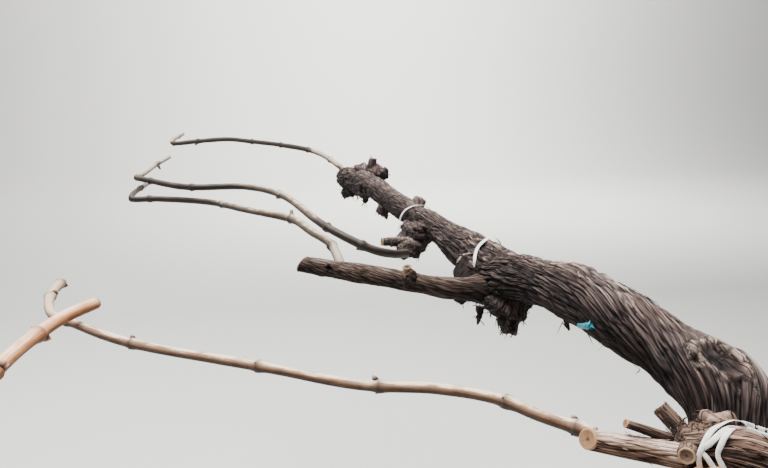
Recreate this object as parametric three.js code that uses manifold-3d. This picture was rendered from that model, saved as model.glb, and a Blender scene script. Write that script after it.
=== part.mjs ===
// A dormant, winter-pruned grapevine trained along an overhead row: one trunk that leans back and
// bends over into a thick arch, a cordon that runs on level to its end knob, a short second arm at
// the fork, an old sawn arm, cut spurs and five long canes that reach out to one side.
// Millimetres, +Z up. The origin is the middle of the trunk's flat cut at ground level, +Y runs
// along the row with the cordon, and the canes reach out to -X.
import * as THREE from 'three';
import { mergeVertices } from 'three/addons/utils/BufferGeometryUtils.js';
import Module from 'manifold-3d';

const wasm = await Module();
wasm.setup();

// Clearance kept between two neighbouring pieces.
const GAP = 0.3;

// Driving sizes of the main stem.
const TRUNK_BOW = 142;          // how far the trunk leans back before it turns over
const SHOULDER_HEIGHT = 1290;
const ARCH_TOP = 1357;
const HEAD_HEIGHT = 1314;
const CORDON_HEIGHT = 1322;
const CORDON_END = 1500;        // how far along the row the end knob lies
const TRUNK_RADIUS = 38;
const ARCH_RADIUS = 34;
const CORDON_RADIUS = 29;
const HEAD_RADIUS = 45;
const END_KNOB_RADIUS = 42;
const ROOT_FLARE = 24;          // added to the trunk's radius where it meets the ground
const ROOT_FLARE_HEIGHT = 70;

// Ties round the wood: how thick and how wide their flat bands are.
const BAND_THICKNESS = 1.6;
const BAND_WIDTH = 5;

const BARK = new THREE.MeshStandardMaterial({ color: 0x5a4a43, roughness: 0.95, metalness: 0 });
const OLD_ARM_BARK = new THREE.MeshStandardMaterial({ color: 0x6b4c3e, roughness: 0.9, metalness: 0 });
const CANE_BARK = new THREE.MeshStandardMaterial({ color: 0x9a7c62, roughness: 0.7, metalness: 0 });
const RUSSET_CANE_BARK = new THREE.MeshStandardMaterial({ color: 0xa9744d, roughness: 0.7, metalness: 0 });
const WHITE_TIE = new THREE.MeshStandardMaterial({ color: 0xe4e2dc, roughness: 0.5, metalness: 0 });
const TEAL_TIE = new THREE.MeshStandardMaterial({ color: 0x14808c, roughness: 0.45, metalness: 0 });

// Small repeatable random numbers from 0 to 1.
function seededRandom(seed) {
  let state = seed >>> 0;
  return () => {
    state = (Math.imul(state, 1664525) + 1013904223) >>> 0;
    return state / 4294967296;
  };
}

// A closed three.js geometry as a solid, with its faces pointing out.
function solidOf(geometry) {
  const bare = geometry.clone();
  bare.deleteAttribute('normal');
  bare.deleteAttribute('uv');
  const merged = mergeVertices(bare, 1e-4);
  const place = merged.attributes.position;
  const cornerAt = (i) => new THREE.Vector3().fromBufferAttribute(place, i);
  const corners = Array.from({ length: place.count }, (_, i) => cornerAt(i));
  const faces = [];
  let volume = 0;
  for (let i = 0; i < merged.index.count; i += 3) {
    const [a, b, c] = [0, 1, 2].map((k) => merged.index.getX(i + k));
    if (a === b || b === c || c === a) continue;
    faces.push([a, b, c]);
    volume += corners[a].dot(new THREE.Vector3().crossVectors(corners[b], corners[c]));
  }
  const order = volume > 0 ? faces : faces.map(([a, b, c]) => [a, c, b]);
  return new wasm.Manifold(new wasm.Mesh({
    numProp: 3,
    vertProperties: new Float32Array(place.array),
    triVerts: new Uint32Array(order.flat()),
  }));
}

function pieceOf(name, solid, material) {
  const { vertProperties, triVerts } = solid.getMesh();
  const geometry = new THREE.BufferGeometry();
  geometry.setAttribute('position', new THREE.BufferAttribute(new Float32Array(vertProperties), 3));
  geometry.setIndex(new THREE.BufferAttribute(new Uint32Array(triVerts), 1));
  geometry.computeVertexNormals();
  const mesh = new THREE.Mesh(geometry, material);
  mesh.name = name;
  return mesh;
}

// The centre line of a limb through its stations [x, y, z, radius], counted from 0, with a frame
// that doesn't twist and a radius that changes smoothly between stations.
function centreLine(stations, { side = new THREE.Vector3(1, 0, 0), samples = 24 } = {}) {
  const last = stations.length - 1;
  const curve = new THREE.CatmullRomCurve3(stations.map(([x, y, z]) => new THREE.Vector3(x, y, z)));
  const girth = new THREE.SplineCurve(stations.map((s, i) => new THREE.Vector2(i, s[3])));
  const normals = [];
  let normal = side.clone();
  for (let i = 0; i <= last * samples; i++) {
    const tangent = curve.getTangent(i / (last * samples));
    normal = normal.clone().addScaledVector(tangent, -normal.dot(tangent)).normalize();
    normals.push(normal);
  }
  return {
    last,
    at: (t) => curve.getPoint(t / last),
    radius: (t) => girth.getPoint(t / last).y,
    frame: (t) => {
      const tangent = curve.getTangent(t / last);
      const nearest = normals[Math.min(normals.length - 1, Math.round(t * samples))];
      const across = nearest.clone().addScaledVector(tangent, -nearest.dot(tangent)).normalize();
      return { tangent, across, up: new THREE.Vector3().crossVectors(tangent, across) };
    },
    after: (t, distance) => {
      const near = 0.01;
      const stride = curve.getPoint((t + near) / last).distanceTo(curve.getPoint(t / last));
      return t + (near * distance) / stride;
    },
  };
}

// Low lobes and swellings that keep an old limb from being round.
function lobes(t, angle, seed, depth) {
  const long = Math.cos(2 * angle + 1.3 * t + seed);
  const short = Math.cos(3 * angle - 0.9 * t + 2 * seed);
  return 1 + depth * (0.6 * long + 0.4 * short + 0.5 * Math.sin(5.1 * t + seed));
}

// A closed tapering tube with flat ends along a centre line, from one station to another.
function limb(line, {
  from = 0, to = line.last, stops, rings = 12, sides = 12, seed = 0, depth = 0.06, flare = () => 0, grow = 0,
}) {
  const places = stops ?? Array.from({ length: rings + 1 }, (_, i) => from + ((to - from) * i) / rings);
  const profile = [new THREE.Vector2(0, 0)];
  places.forEach((_, i) => profile.push(new THREE.Vector2(1, i)));
  profile.push(new THREE.Vector2(0, places.length - 1));
  const shape = new THREE.LatheGeometry(profile, sides);
  const place = shape.attributes.position;
  const frames = places.map((t) => line.frame(t));
  const centres = places.map((t) => line.at(t));
  for (let i = 0; i < place.count; i++) {
    const [x, z] = [place.getX(i), place.getZ(i)];
    const ring = Math.round(place.getY(i));
    const t = places[ring];
    const angle = Math.atan2(x, z);
    const round = Math.hypot(x, z) < 0.5 ? 0 : 1;
    const radius = round * (line.radius(t) * lobes(t, angle, seed, depth) + flare(t, angle) + grow);
    const point = centres[ring].clone()
      .addScaledVector(frames[ring].across, radius * Math.sin(angle))
      .addScaledVector(frames[ring].up, radius * Math.cos(angle));
    place.setXYZ(i, point.x, point.y, point.z);
  }
  return solidOf(shape);
}

// A knotty swelling of old wood.
function burl([x, y, z], [width, length, height], seed, grow = 0) {
  const shape = new THREE.IcosahedronGeometry(1, length > 28 ? 3 : 2);
  const place = shape.attributes.position;
  for (let i = 0; i < place.count; i++) {
    const [u, v, w] = [place.getX(i), place.getY(i), place.getZ(i)];
    const broad = 0.14 * Math.sin(4 * u + seed) * Math.cos(3 * v - seed);
    const lump = 1 + broad + 0.1 * Math.sin(5 * w + 3 * u + 2 * seed);
    const reach = [width, length, height].map((half) => half * lump + grow);
    place.setXYZ(i, x + u * reach[0], y + v * reach[1], z + w * reach[2]);
  }
  return solidOf(shape);
}

// A short straight stub, bud or shred from one point to another.
function peg(from, to, startRadius, endRadius, sides = 7, grow = 0) {
  const start = new THREE.Vector3(...from);
  const along = new THREE.Vector3(...to).sub(start);
  const shape = new THREE.CylinderGeometry(endRadius + grow, startRadius + grow, along.length(), sides);
  shape.translate(0, along.length() / 2, 0);
  const turn = new THREE.Quaternion().setFromUnitVectors(new THREE.Vector3(0, 1, 0), along.normalize());
  shape.applyQuaternion(turn);
  shape.translate(start.x, start.y, start.z);
  return solidOf(shape);
}

const joined = (...solids) => solids.reduce((whole, next) => whole.add(next));
const clearOf = (solid, ...neighbours) => neighbours.reduce((rest, next) => rest.subtract(next), solid);

// The main stem: foot, lean, shoulder, arch, head and cordon on one centre line.
const stem = centreLine([
  [-2, 26, -90, 50],
  [0, 0, 0, 47],
  [4, -0.38 * TRUNK_BOW, 0.26 * SHOULDER_HEIGHT, TRUNK_RADIUS + 2],
  [7, -0.78 * TRUNK_BOW, 0.55 * SHOULDER_HEIGHT, TRUNK_RADIUS],
  [6, -TRUNK_BOW, 0.79 * SHOULDER_HEIGHT, TRUNK_RADIUS - 1],
  [4, -TRUNK_BOW, SHOULDER_HEIGHT - 80, TRUNK_RADIUS + 1],
  [2, -0.82 * TRUNK_BOW, SHOULDER_HEIGHT, TRUNK_RADIUS + 2],
  [2, -76, SHOULDER_HEIGHT + 49, TRUNK_RADIUS - 2],
  [-1, -18, ARCH_TOP - 6, ARCH_RADIUS - 1],
  [-6, 56, ARCH_TOP, ARCH_RADIUS],
  [-9, 140, ARCH_TOP - 1, ARCH_RADIUS],
  [-12, 225, ARCH_TOP - 17, ARCH_RADIUS],
  [-14, 323, HEAD_HEIGHT, HEAD_RADIUS],
  [-17, 440, CORDON_HEIGHT, CORDON_RADIUS + 6],
  [-20, 577, CORDON_HEIGHT + 3, CORDON_RADIUS - 1],
  [-24, 730, CORDON_HEIGHT - 1, CORDON_RADIUS],
  [-27, 900, CORDON_HEIGHT - 3, CORDON_RADIUS],
  [-29, 1050, CORDON_HEIGHT - 1, CORDON_RADIUS],
  [-30, 1190, CORDON_HEIGHT - 10, CORDON_RADIUS + 8],
  [-32, 1380, CORDON_HEIGHT - 28, END_KNOB_RADIUS],
  [-33, CORDON_END - 30, CORDON_HEIGHT - 38, END_KNOB_RADIUS - 2],
  [-33, CORDON_END, CORDON_HEIGHT - 42, END_KNOB_RADIUS - 16],
]);
const FORK = 5.2;               // station where the trunk ends and the arch begins
const HEAD_END = 13;            // station where the arch passes into the cordon

function rootFlare(t, angle) {
  const height = Math.max(0, stem.at(t).z);
  return ROOT_FLARE * Math.exp(-height / ROOT_FLARE_HEIGHT) * (1 + 0.35 * Math.cos(5 * angle + 0.7));
}

function trunkSolid(grow = 0) {
  const stops = [0.6, 0.9, 1, 1.08, 1.2, 1.4, 1.7, 2, 2.4, 2.8, 3.2, 3.6, 4, 4.4, 4.8, FORK];
  const whole = limb(stem, { stops, sides: 18, seed: 1, flare: rootFlare, grow });
  const below = new THREE.BoxGeometry(600, 600, 200);
  below.translate(0, 0, -100);
  return whole.subtract(solidOf(below));
}

function archSolid(grow = 0) {
  const bend = limb(stem, { from: stem.after(FORK, GAP), to: HEAD_END, rings: 34, sides: 18, seed: 1, grow });
  const headLump = burl([-22, 292, 1290], [34, 58, 30], 2, grow);
  const looseClump = burl([-30, 258, 1270], [15, 17, 22], 5, grow);
  const sideLump = burl([-40, 345, 1308], [26, 42, 34], 3, grow);
  const lowLump = burl([-62, 322, 1284], [17, 24, 17], 10, grow);
  const shred = peg([-62, 274, 1288], [-70, 266, 1256], 9, 1, 6, grow);
  const backShred = peg([-24, 132, 1338], [-25, 117, 1313], 8, 1, 6, grow);
  const shoulderKnot = burl([-2, -88, 1366], [26, 30, 18], 7, grow);
  return joined(bend, headLump, looseClump, sideLump, lowLump, shred, backShred, shoulderKnot);
}

function cordonSolid(grow = 0) {
  const run = limb(stem, { from: stem.after(HEAD_END, GAP), rings: 36, sides: 16, seed: 4, depth: 0.08, grow });
  const topKnob = burl([10, 1195, 1344], [30, 44, 26], 1, grow);
  const endCrest = burl([-8, 1300, 1336], [28, 62, 24], 13, grow);
  const sawnSpur = peg([18, 1200, 1352], [38, 1228, 1372], 15, 11, 8, grow);
  const burr = burl([-48, 935, 1291], [16, 26, 17], 6, grow);
  const spurCrest = burl([-8, 742, 1349], [14, 30, 9], 8, grow);
  return joined(run, topKnob, endCrest, sawnSpur, burr, spurCrest);
}

const trunk = trunkSolid();
const arch = archSolid();
const cordon = cordonSolid();

// The gnarled spur head under the cordon, with its small cut stub.
function spurHeadSolid(grow = 0) {
  return joined(
    burl([-60, 612, 1302], [34, 40, 30], 9, grow),
    burl([-84, 580, 1286], [24, 26, 20], 11, grow),
    burl([-36, 640, 1306], [26, 34, 26], 12, grow),
    peg([-92, 586, 1300], [-136, 588, 1302], 9, 7.5, 8, grow),
  );
}
const spurHead = clearOf(spurHeadSolid(), cordonSolid(GAP));

// A wide spur, sawn flat, on the side of the head.
const cutSpurSolid = (grow = 0) => peg([-40, 400, 1312], [-80, 366, 1308], 27, 23, 12, grow);
const cutSpur = clearOf(cutSpurSolid(), archSolid(GAP));

// The old arm, sawn off square, on the side of the head.
const oldArmLine = centreLine([
  [-30, 300, 1302, 18],
  [-110, 317, 1303, 17],
  [-158, 345, 1306, 15.5],
  [-203, 382, 1306, 15],
  [-253, 430, 1303, 14],
  [-308, 481, 1300, 12.5],
]);
function oldArmSolid(grow = 0) {
  return joined(
    limb(oldArmLine, { rings: 15, sides: 12, seed: 3, depth: 0.07, grow }),
    burl([-279, 452, 1300], [15, 16, 16], 4, grow),
    peg([-160, 345, 1312], [-163, 344, 1329], 8, 4.5, 7, grow),
  );
}
const oldArm = clearOf(oldArmSolid(), archSolid(GAP));

// The short second arm at the fork, its knob and its cut stubs.
const nearArmLine = centreLine([
  [8, -120, 1258, 26],
  [4, -168, 1291, 26],
  [-24, -161, 1320, 24],
  [-62, -142, 1333, 19],
  [-92, -131, 1334, 13],
]);
function nearArmSolid(grow = 0) {
  return joined(
    limb(nearArmLine, { rings: 14, sides: 14, seed: 6, depth: 0.07, grow }),
    burl([-46, -119, 1341], [15, 15, 15], 3, grow),
    burl([-84, -129, 1334], [14, 13, 14], 5, grow),
  );
}
const nearArm = clearOf(nearArmSolid(), trunkSolid(GAP), archSolid(GAP));
const nearSpurSolid = (grow = 0) => peg([-88, -136, 1331], [-153, -99, 1332], 9.6, 9, 12, grow);
const nearSpur = clearOf(nearSpurSolid(), nearArmSolid(GAP));
const cutStub = (...sizes) => clearOf(peg(...sizes), nearArmSolid(GAP), nearSpurSolid(GAP));
const fanStub = cutStub([-76, -120, 1338], [-86, -98, 1353], 6, 5.2, 8);
const thinStub = cutStub([-95, -122, 1339], [-129, -110, 1350], 4.2, 3.4, 8);
const faceStub = cutStub([-84, -131, 1334], [-101, -144, 1341], 8, 6.5, 10);

// A cane: a stem that thickens at each joint, with a bud or a short cut twig there by a seeded rule.
const BUD_LENGTH = 5;
const SIDE_TWIG_LENGTH = 9;
const SIDE_TWIG_SHARE = 0.2;
const JOINT_SWELL = 0.22;       // share by which a joint is thicker than the cane
const JOINT_HALF_LENGTH = 7;
const RING_SPACING = 40;        // how far apart a cane's rings lie between its joints

function cane({ stations, joints, seed, sides = 6 }, ...neighbours) {
  const line = centreLine(stations, { side: new THREE.Vector3(0, 0, 1) });
  const random = seededRandom(seed);
  const step = 0.005;
  const places = [];
  const stops = [0];
  let run = 0;
  let ringAt = 0;
  for (let t = step; t < line.last - 2 * step; t += step) {
    run += line.at(t).distanceTo(line.at(t - step));
    const joint = joints[places.length] ?? Infinity;
    const passed = run - (joints[places.length - 1] ?? -Infinity);
    const atJoint = run > joint;
    const beside = (distance) => Math.abs(distance - JOINT_HALF_LENGTH) < 1;
    const besideJoint = beside(joint - run) || beside(passed);
    if (atJoint) places.push(t);
    if (!atJoint && !(besideJoint && run - ringAt > 3) && run - ringAt < RING_SPACING) continue;
    stops.push(t);
    ringAt = run;
  }
  stops.push(line.last);
  const swell = (t) => (places.some((place) => Math.abs(place - t) < 1e-6) ? 1 + JOINT_SWELL : 1);
  const swollen = { ...line, radius: (t) => line.radius(t) * swell(t) };
  let whole = limb(swollen, { stops, sides, depth: 0.02 });
  places.forEach((place, i) => {
    const { tangent, across, up } = line.frame(place);
    const turn = (i % 2 ? 1 : -1) * (0.5 + 0.5 * random()) + (i % 2 ? 0 : Math.PI);
    const out = across.clone().multiplyScalar(Math.cos(turn)).addScaledVector(up, Math.sin(turn));
    const radius = line.radius(place);
    const twig = random() < SIDE_TWIG_SHARE;
    const length = radius + (twig ? SIDE_TWIG_LENGTH : BUD_LENGTH) * (0.8 + 0.4 * random());
    const tip = line.at(place).addScaledVector(out, length).addScaledVector(tangent, 0.6 * length);
    const root = line.at(place).addScaledVector(out, 0.3 * radius);
    const ends = twig ? [0.55 * radius, 0.4 * radius] : [0.6 * radius, 1.1];
    whole = whole.add(peg(root.toArray(), tip.toArray(), ...ends, 5));
  });
  return clearOf(whole, ...neighbours);
}

// Each cane's stations, and how far along it its joints lie.
const CANES = {
  near: {
    stations: [
      [-141, -93, 1331, 5], [-172, -59, 1330.5, 4.9], [-196, -31, 1332, 4.7], [-241, 3, 1329, 4.5],
      [-313, 28, 1328, 4.5], [-403, 82, 1329, 4.4], [-531, 162, 1328, 4.3], [-602, 232, 1326, 4.2],
      [-634, 268, 1325, 4.2], [-653, 319, 1327, 4.4], [-650, 366, 1330, 4.2],
    ],
    joints: [78, 197, 320, 404, 470, 560, 640],
    seed: 11,
  },
  outer: {
    stations: [
      [-70, -150, 1326, 9], [-150, -190, 1312, 8.4], [-300, -205, 1302, 8], [-470, -160, 1303, 7.7],
      [-610, -60, 1314, 7.5], [-644, 40, 1332, 7.4], [-634, 114, 1340, 7.2], [-607, 205, 1344, 7.1],
      [-579, 241, 1346, 7],
    ],
    joints: [110, 205, 300, 400, 495, 590, 680, 765, 836],
    seed: 23,
  },
  middle: {
    stations: [
      [-250, 432, 1306, 7.2], [-253, 454, 1321, 7], [-259, 482, 1333, 6.8], [-281, 554, 1337, 6.8],
      [-308, 665, 1336, 6.8], [-385, 770, 1332, 6.5], [-472, 880, 1330, 6.2], [-600, 950, 1327, 6],
      [-645, 955, 1326, 5.8], [-656, 1000, 1327, 5.6], [-637, 1199, 1328, 5.2],
    ],
    joints: [54, 248, 480, 676, 722, 850],
    seed: 37,
  },
  long: {
    stations: [
      [-84, 572, 1281, 7.5], [-130, 527, 1295, 7.2], [-173, 518, 1308, 7], [-246, 574, 1337, 6.9],
      [-315, 806, 1358, 6.7], [-389, 900, 1361, 6.5], [-520, 915, 1360, 6.3], [-606, 1002, 1360, 6],
      [-650, 1060, 1361, 5.8], [-644, 1120, 1361, 5.6], [-630, 1293, 1362, 5.5], [-612, 1454, 1362, 5.3],
    ],
    joints: [135, 217, 462, 701, 844, 905, 1142],
    seed: 41,
  },
  end: {
    stations: [
      [-34, 1446, 1306, 9], [-52, 1490, 1324, 8.6], [-105, 1700, 1349, 8.4], [-222, 1859, 1358, 8.4],
      [-329, 1957, 1361, 8.3], [-434, 2035, 1363, 8.2], [-550, 2040, 1354, 8], [-640, 2030, 1345, 7.6],
      [-662, 2085, 1346, 7.2], [-641, 2422, 1350, 6.8],
    ],
    joints: [130, 316, 470, 618, 865, 966, 1100, 1230],
    seed: 59,
  },
};

const caneNear = cane(CANES.near, nearSpurSolid(GAP));
const caneOuter = cane(CANES.outer, nearArmSolid(GAP), nearSpurSolid(GAP));
const caneMiddle = cane(CANES.middle, oldArmSolid(GAP));
const caneLong = cane(CANES.long, spurHeadSolid(GAP));
const caneEnd = cane(CANES.end, cordonSolid(GAP));

// A flat tie pulled round a limb: the band between two copies of the limb, one larger.
function band(line, options, limbs, station) {
  const stretch = { from: station, to: line.after(station, BAND_WIDTH), rings: 1, sides: 18, ...options };
  const outer = limb(line, { ...stretch, grow: GAP + BAND_THICKNESS });
  const inner = limb(line, { ...stretch, from: station - 0.2, to: stretch.to + 0.2, grow: GAP });
  return clearOf(outer, inner, ...limbs);
}
const stemTies = [14.85, 12.62].map((station, i) => band(
  stem,
  i ? { seed: 1 } : { seed: 4, depth: 0.08, sides: 16 },
  [cordonSolid(GAP), archSolid(GAP), spurHeadSolid(GAP), cutSpurSolid(GAP), oldArmSolid(GAP)],
  station,
));
const armTies = [2.2, 2.65].map((station) => band(
  nearArmLine,
  { seed: 6, depth: 0.07, sides: 14 },
  [nearArmSolid(GAP), archSolid(GAP), trunkSolid(GAP)],
  station,
));

// A twist of teal binding left on the underside of the arch.
const tealTie = clearOf(
  joined(peg([-39, 80, 1339.5], [-43, 55, 1351], 4.2, 3.6, 8), burl([-43, 55, 1351], [5, 6, 5], 2)),
  archSolid(GAP),
);

const grapevine = new THREE.Group();
grapevine.name = 'grapevine';
const pieces = [
  ['trunk', trunk, BARK],
  ['arch', arch, BARK],
  ['cordon', cordon, BARK],
  ['spur_head', spurHead, BARK],
  ['cut_spur', cutSpur, BARK],
  ['old_arm', oldArm, OLD_ARM_BARK],
  ['near_arm', nearArm, BARK],
  ['near_spur', nearSpur, OLD_ARM_BARK],
  ['fan_stub', fanStub, BARK],
  ['thin_stub', thinStub, BARK],
  ['face_stub', faceStub, BARK],
  ['cane_near', caneNear, CANE_BARK],
  ['cane_outer', caneOuter, RUSSET_CANE_BARK],
  ['cane_middle', caneMiddle, CANE_BARK],
  ['cane_long', caneLong, CANE_BARK],
  ['cane_end', caneEnd, CANE_BARK],
  ['tie_cordon', stemTies[0], WHITE_TIE],
  ['tie_head', stemTies[1], WHITE_TIE],
  ['tie_arm_outer', armTies[0], WHITE_TIE],
  ['tie_arm_inner', armTies[1], WHITE_TIE],
  ['tie_teal', tealTie, TEAL_TIE],
];
for (const [name, solid, material] of pieces) grapevine.add(pieceOf(name, solid, material));

export default grapevine;
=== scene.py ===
import math

import bpy
import numpy as np
from mathutils import Matrix


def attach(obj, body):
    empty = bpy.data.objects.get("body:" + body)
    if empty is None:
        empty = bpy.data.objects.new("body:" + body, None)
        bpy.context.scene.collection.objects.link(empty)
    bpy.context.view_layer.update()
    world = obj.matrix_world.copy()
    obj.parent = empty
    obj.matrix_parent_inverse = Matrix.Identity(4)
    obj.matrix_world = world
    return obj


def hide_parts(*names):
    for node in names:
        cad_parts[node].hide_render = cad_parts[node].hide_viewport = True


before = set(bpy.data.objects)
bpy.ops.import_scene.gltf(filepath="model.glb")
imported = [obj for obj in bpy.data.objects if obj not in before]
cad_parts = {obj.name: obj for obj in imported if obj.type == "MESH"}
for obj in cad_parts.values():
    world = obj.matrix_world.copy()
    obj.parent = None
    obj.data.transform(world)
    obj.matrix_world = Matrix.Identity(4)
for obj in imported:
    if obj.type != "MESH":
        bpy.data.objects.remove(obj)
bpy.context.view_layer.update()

# The main stem: one old trunk that leans back, turns over into the arch and runs on as the cordon.
# Living wood under bark that splits into long fibrous strips, painted darker in the cracks between them,
# partly as the shade there.
TRUNK_BOW = 142
SHOULDER_HEIGHT = 1290
ARCH_TOP = 1357
HEAD_HEIGHT = 1314
CORDON_HEIGHT = 1322
CORDON_END = 1500
TRUNK_RADIUS = 38
ARCH_RADIUS = 34
CORDON_RADIUS = 29
HEAD_RADIUS = 45
END_KNOB_RADIUS = 42
STEM_STATIONS = [
    [-2, 26, -90, 50],
    [0, 0, 0, 47],
    [4, -0.38 * TRUNK_BOW, 0.26 * SHOULDER_HEIGHT, TRUNK_RADIUS + 2],
    [7, -0.78 * TRUNK_BOW, 0.55 * SHOULDER_HEIGHT, TRUNK_RADIUS],
    [6, -TRUNK_BOW, 0.79 * SHOULDER_HEIGHT, TRUNK_RADIUS - 1],
    [4, -TRUNK_BOW, SHOULDER_HEIGHT - 80, TRUNK_RADIUS + 1],
    [2, -0.82 * TRUNK_BOW, SHOULDER_HEIGHT, TRUNK_RADIUS + 2],
    [2, -76, SHOULDER_HEIGHT + 49, TRUNK_RADIUS - 2],
    [-1, -18, ARCH_TOP - 6, ARCH_RADIUS - 1],
    [-6, 56, ARCH_TOP, ARCH_RADIUS],
    [-9, 140, ARCH_TOP - 1, ARCH_RADIUS],
    [-12, 225, ARCH_TOP - 17, ARCH_RADIUS],
    [-14, 323, HEAD_HEIGHT, HEAD_RADIUS],
    [-17, 440, CORDON_HEIGHT, CORDON_RADIUS + 6],
    [-20, 577, CORDON_HEIGHT + 3, CORDON_RADIUS - 1],
    [-24, 730, CORDON_HEIGHT - 1, CORDON_RADIUS],
    [-27, 900, CORDON_HEIGHT - 3, CORDON_RADIUS],
    [-29, 1050, CORDON_HEIGHT - 1, CORDON_RADIUS],
    [-30, 1190, CORDON_HEIGHT - 10, CORDON_RADIUS + 8],
    [-32, 1380, CORDON_HEIGHT - 28, END_KNOB_RADIUS],
    [-33, CORDON_END - 30, CORDON_HEIGHT - 38, END_KNOB_RADIUS - 2],
    [-33, CORDON_END, CORDON_HEIGHT - 42, END_KNOB_RADIUS - 16],
]
GROUND_STATION = 1
FORK = 5.2
HEAD_END = 13


def unit(vectors):
    """Vectors, one a row, brought to length 1."""
    return vectors / np.linalg.norm(vectors, axis=-1, keepdims=True)


class CentreLine:
    """A limb's centre line through stations [x, y, z, radius] in mm, counted from 0."""

    def __init__(self, stations, side=(1, 0, 0), samples=24):
        stations = np.array(stations, float)
        self.points, self.radii = stations[:, :3], stations[:, 3]
        self.last = len(stations) - 1
        self.steps = np.arange(self.last * samples + 1) / samples
        normals = []
        normal = np.array(side, float)
        for tangent in self.tangent(self.steps):
            normal = unit(normal - tangent * (normal @ tangent))
            normals.append(normal)
        self.normals = np.array(normals)
        self.middles = self.at(self.steps)
        strides = np.linalg.norm(np.diff(self.middles, axis=0), axis=1)
        self.runs = np.concatenate([[0], np.cumsum(strides)])

    def at(self, t):
        """Points of the centripetal Catmull-Rom curve."""
        t = np.clip(np.asarray(t, float), 0, self.last)
        i = np.minimum(np.floor(t).astype(int), self.last - 1)
        w = (t - i)[..., None]
        ends = [2 * self.points[0] - self.points[1], 2 * self.points[-1] - self.points[-2]]
        row = np.vstack([ends[0], self.points, ends[1]])
        p0, p1, p2, p3 = row[i], row[i + 1], row[i + 2], row[i + 3]
        pairs = ((p0, p1), (p1, p2), (p2, p3))
        d0, d1, d2 = [np.linalg.norm(b - a, axis=-1, keepdims=True) ** 0.5 for a, b in pairs]
        m1 = ((p1 - p0) / d0 - (p2 - p0) / (d0 + d1) + (p2 - p1) / d1) * d1
        m2 = ((p2 - p1) / d1 - (p3 - p1) / (d1 + d2) + (p3 - p2) / d2) * d1
        return p1 + m1 * w + (3 * (p2 - p1) - 2 * m1 - m2) * w**2 + (2 * (p1 - p2) + m1 + m2) * w**3

    def radius(self, t):
        """The limb's radius, eased smoothly between its stations."""
        t = np.clip(np.asarray(t, float), 0, self.last)
        i = np.minimum(np.floor(t).astype(int), self.last - 1)
        w = t - i
        row = self.radii[[0, *range(self.last + 1), self.last]]
        p0, p1, p2, p3 = row[i], row[i + 1], row[i + 2], row[i + 3]
        v0, v1 = (p2 - p0) / 2, (p3 - p1) / 2
        return p1 + v0 * w + (3 * (p2 - p1) - 2 * v0 - v1) * w**2 + (2 * (p1 - p2) + v0 + v1) * w**3

    def tangent(self, t):
        """The direction along the limb."""
        reach = 1e-4 * self.last
        return unit(self.at(np.asarray(t, float) + reach) - self.at(np.asarray(t, float) - reach))

    def frame(self, t):
        """The tangent and the two directions across the limb, which don't twist."""
        tangent = self.tangent(t)
        normal = np.stack([np.interp(t, self.steps, self.normals[:, k]) for k in range(3)], axis=-1)
        across = unit(normal - tangent * np.sum(normal * tangent, axis=-1, keepdims=True))
        return tangent, across, np.cross(tangent, across)

    def run(self, t):
        """How far along the limb a station lies, in mm."""
        return np.interp(t, self.steps, self.runs)

    def station(self, run):
        """The station that lies this far along the limb, in mm."""
        return np.interp(run, self.runs, self.steps)

    def nearest(self, points):
        """How far along the limb and at which angle round it each point lies."""
        gaps = ((points[:, None, :] - self.middles[None, ::2, :]) ** 2).sum(-1)
        found = 2 * gaps.argmin(1)
        tangent, across, up = self.frame(self.steps[found])
        away = points - self.middles[found]
        along = np.sum(away * tangent, -1)
        return self.runs[found] + along, np.arctan2(np.sum(away * across, -1), np.sum(away * up, -1))


def lobes(t, angle, seed, depth):
    """Low lobes and swellings that keep an old limb from being round."""
    broad = 0.6 * np.cos(2 * angle + 1.3 * t + seed)
    narrow = 0.4 * np.cos(3 * angle - 0.9 * t + 2 * seed)
    return 1 + depth * (broad + narrow + 0.5 * np.sin(5.1 * t + seed))


def dealt(*cells, seed=0):
    """A repeatable random number from 0 to 1 for each whole-number cell."""
    code = np.full(np.broadcast(*cells).shape, (seed * 2654435761 + 12345) % 2**32, np.uint32)
    for cell, prime in zip(cells, (0x9E3779B1, 0x85EBCA77, 0xC2B2AE3D)):
        code = code ^ (cell.astype(np.int64) % 2**32).astype(np.uint32) * np.uint32(prime)
        code = (code ^ (code >> 16)) * np.uint32(0x7FEB352D)
        code = (code ^ (code >> 15)) * np.uint32(0x846CA68B)
        code = code ^ (code >> 16)
    return code / 2.0**32


def swell(*places, seed=0, around=0):
    """Smooth noise from -1 to 1, with cells of size 1. The first place can close on itself."""
    whole = [np.floor(p).astype(np.int64) for p in places]
    part = [p - w for p, w in zip(places, whole)]
    eased = [p * p * p * (p * (6 * p - 15) + 10) for p in part]
    total = 0
    for corner in range(2 ** len(places)):
        steps = [(corner >> k) & 1 for k in range(len(places))]
        cells = [w + s for w, s in zip(whole, steps)]
        if around:
            cells[0] = cells[0] % around
        weight = 1
        for e, s in zip(eased, steps):
            weight = weight * (e if s else 1 - e)
        total = total + weight * (2 * dealt(*cells, seed=seed) - 1)
    return total


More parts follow.
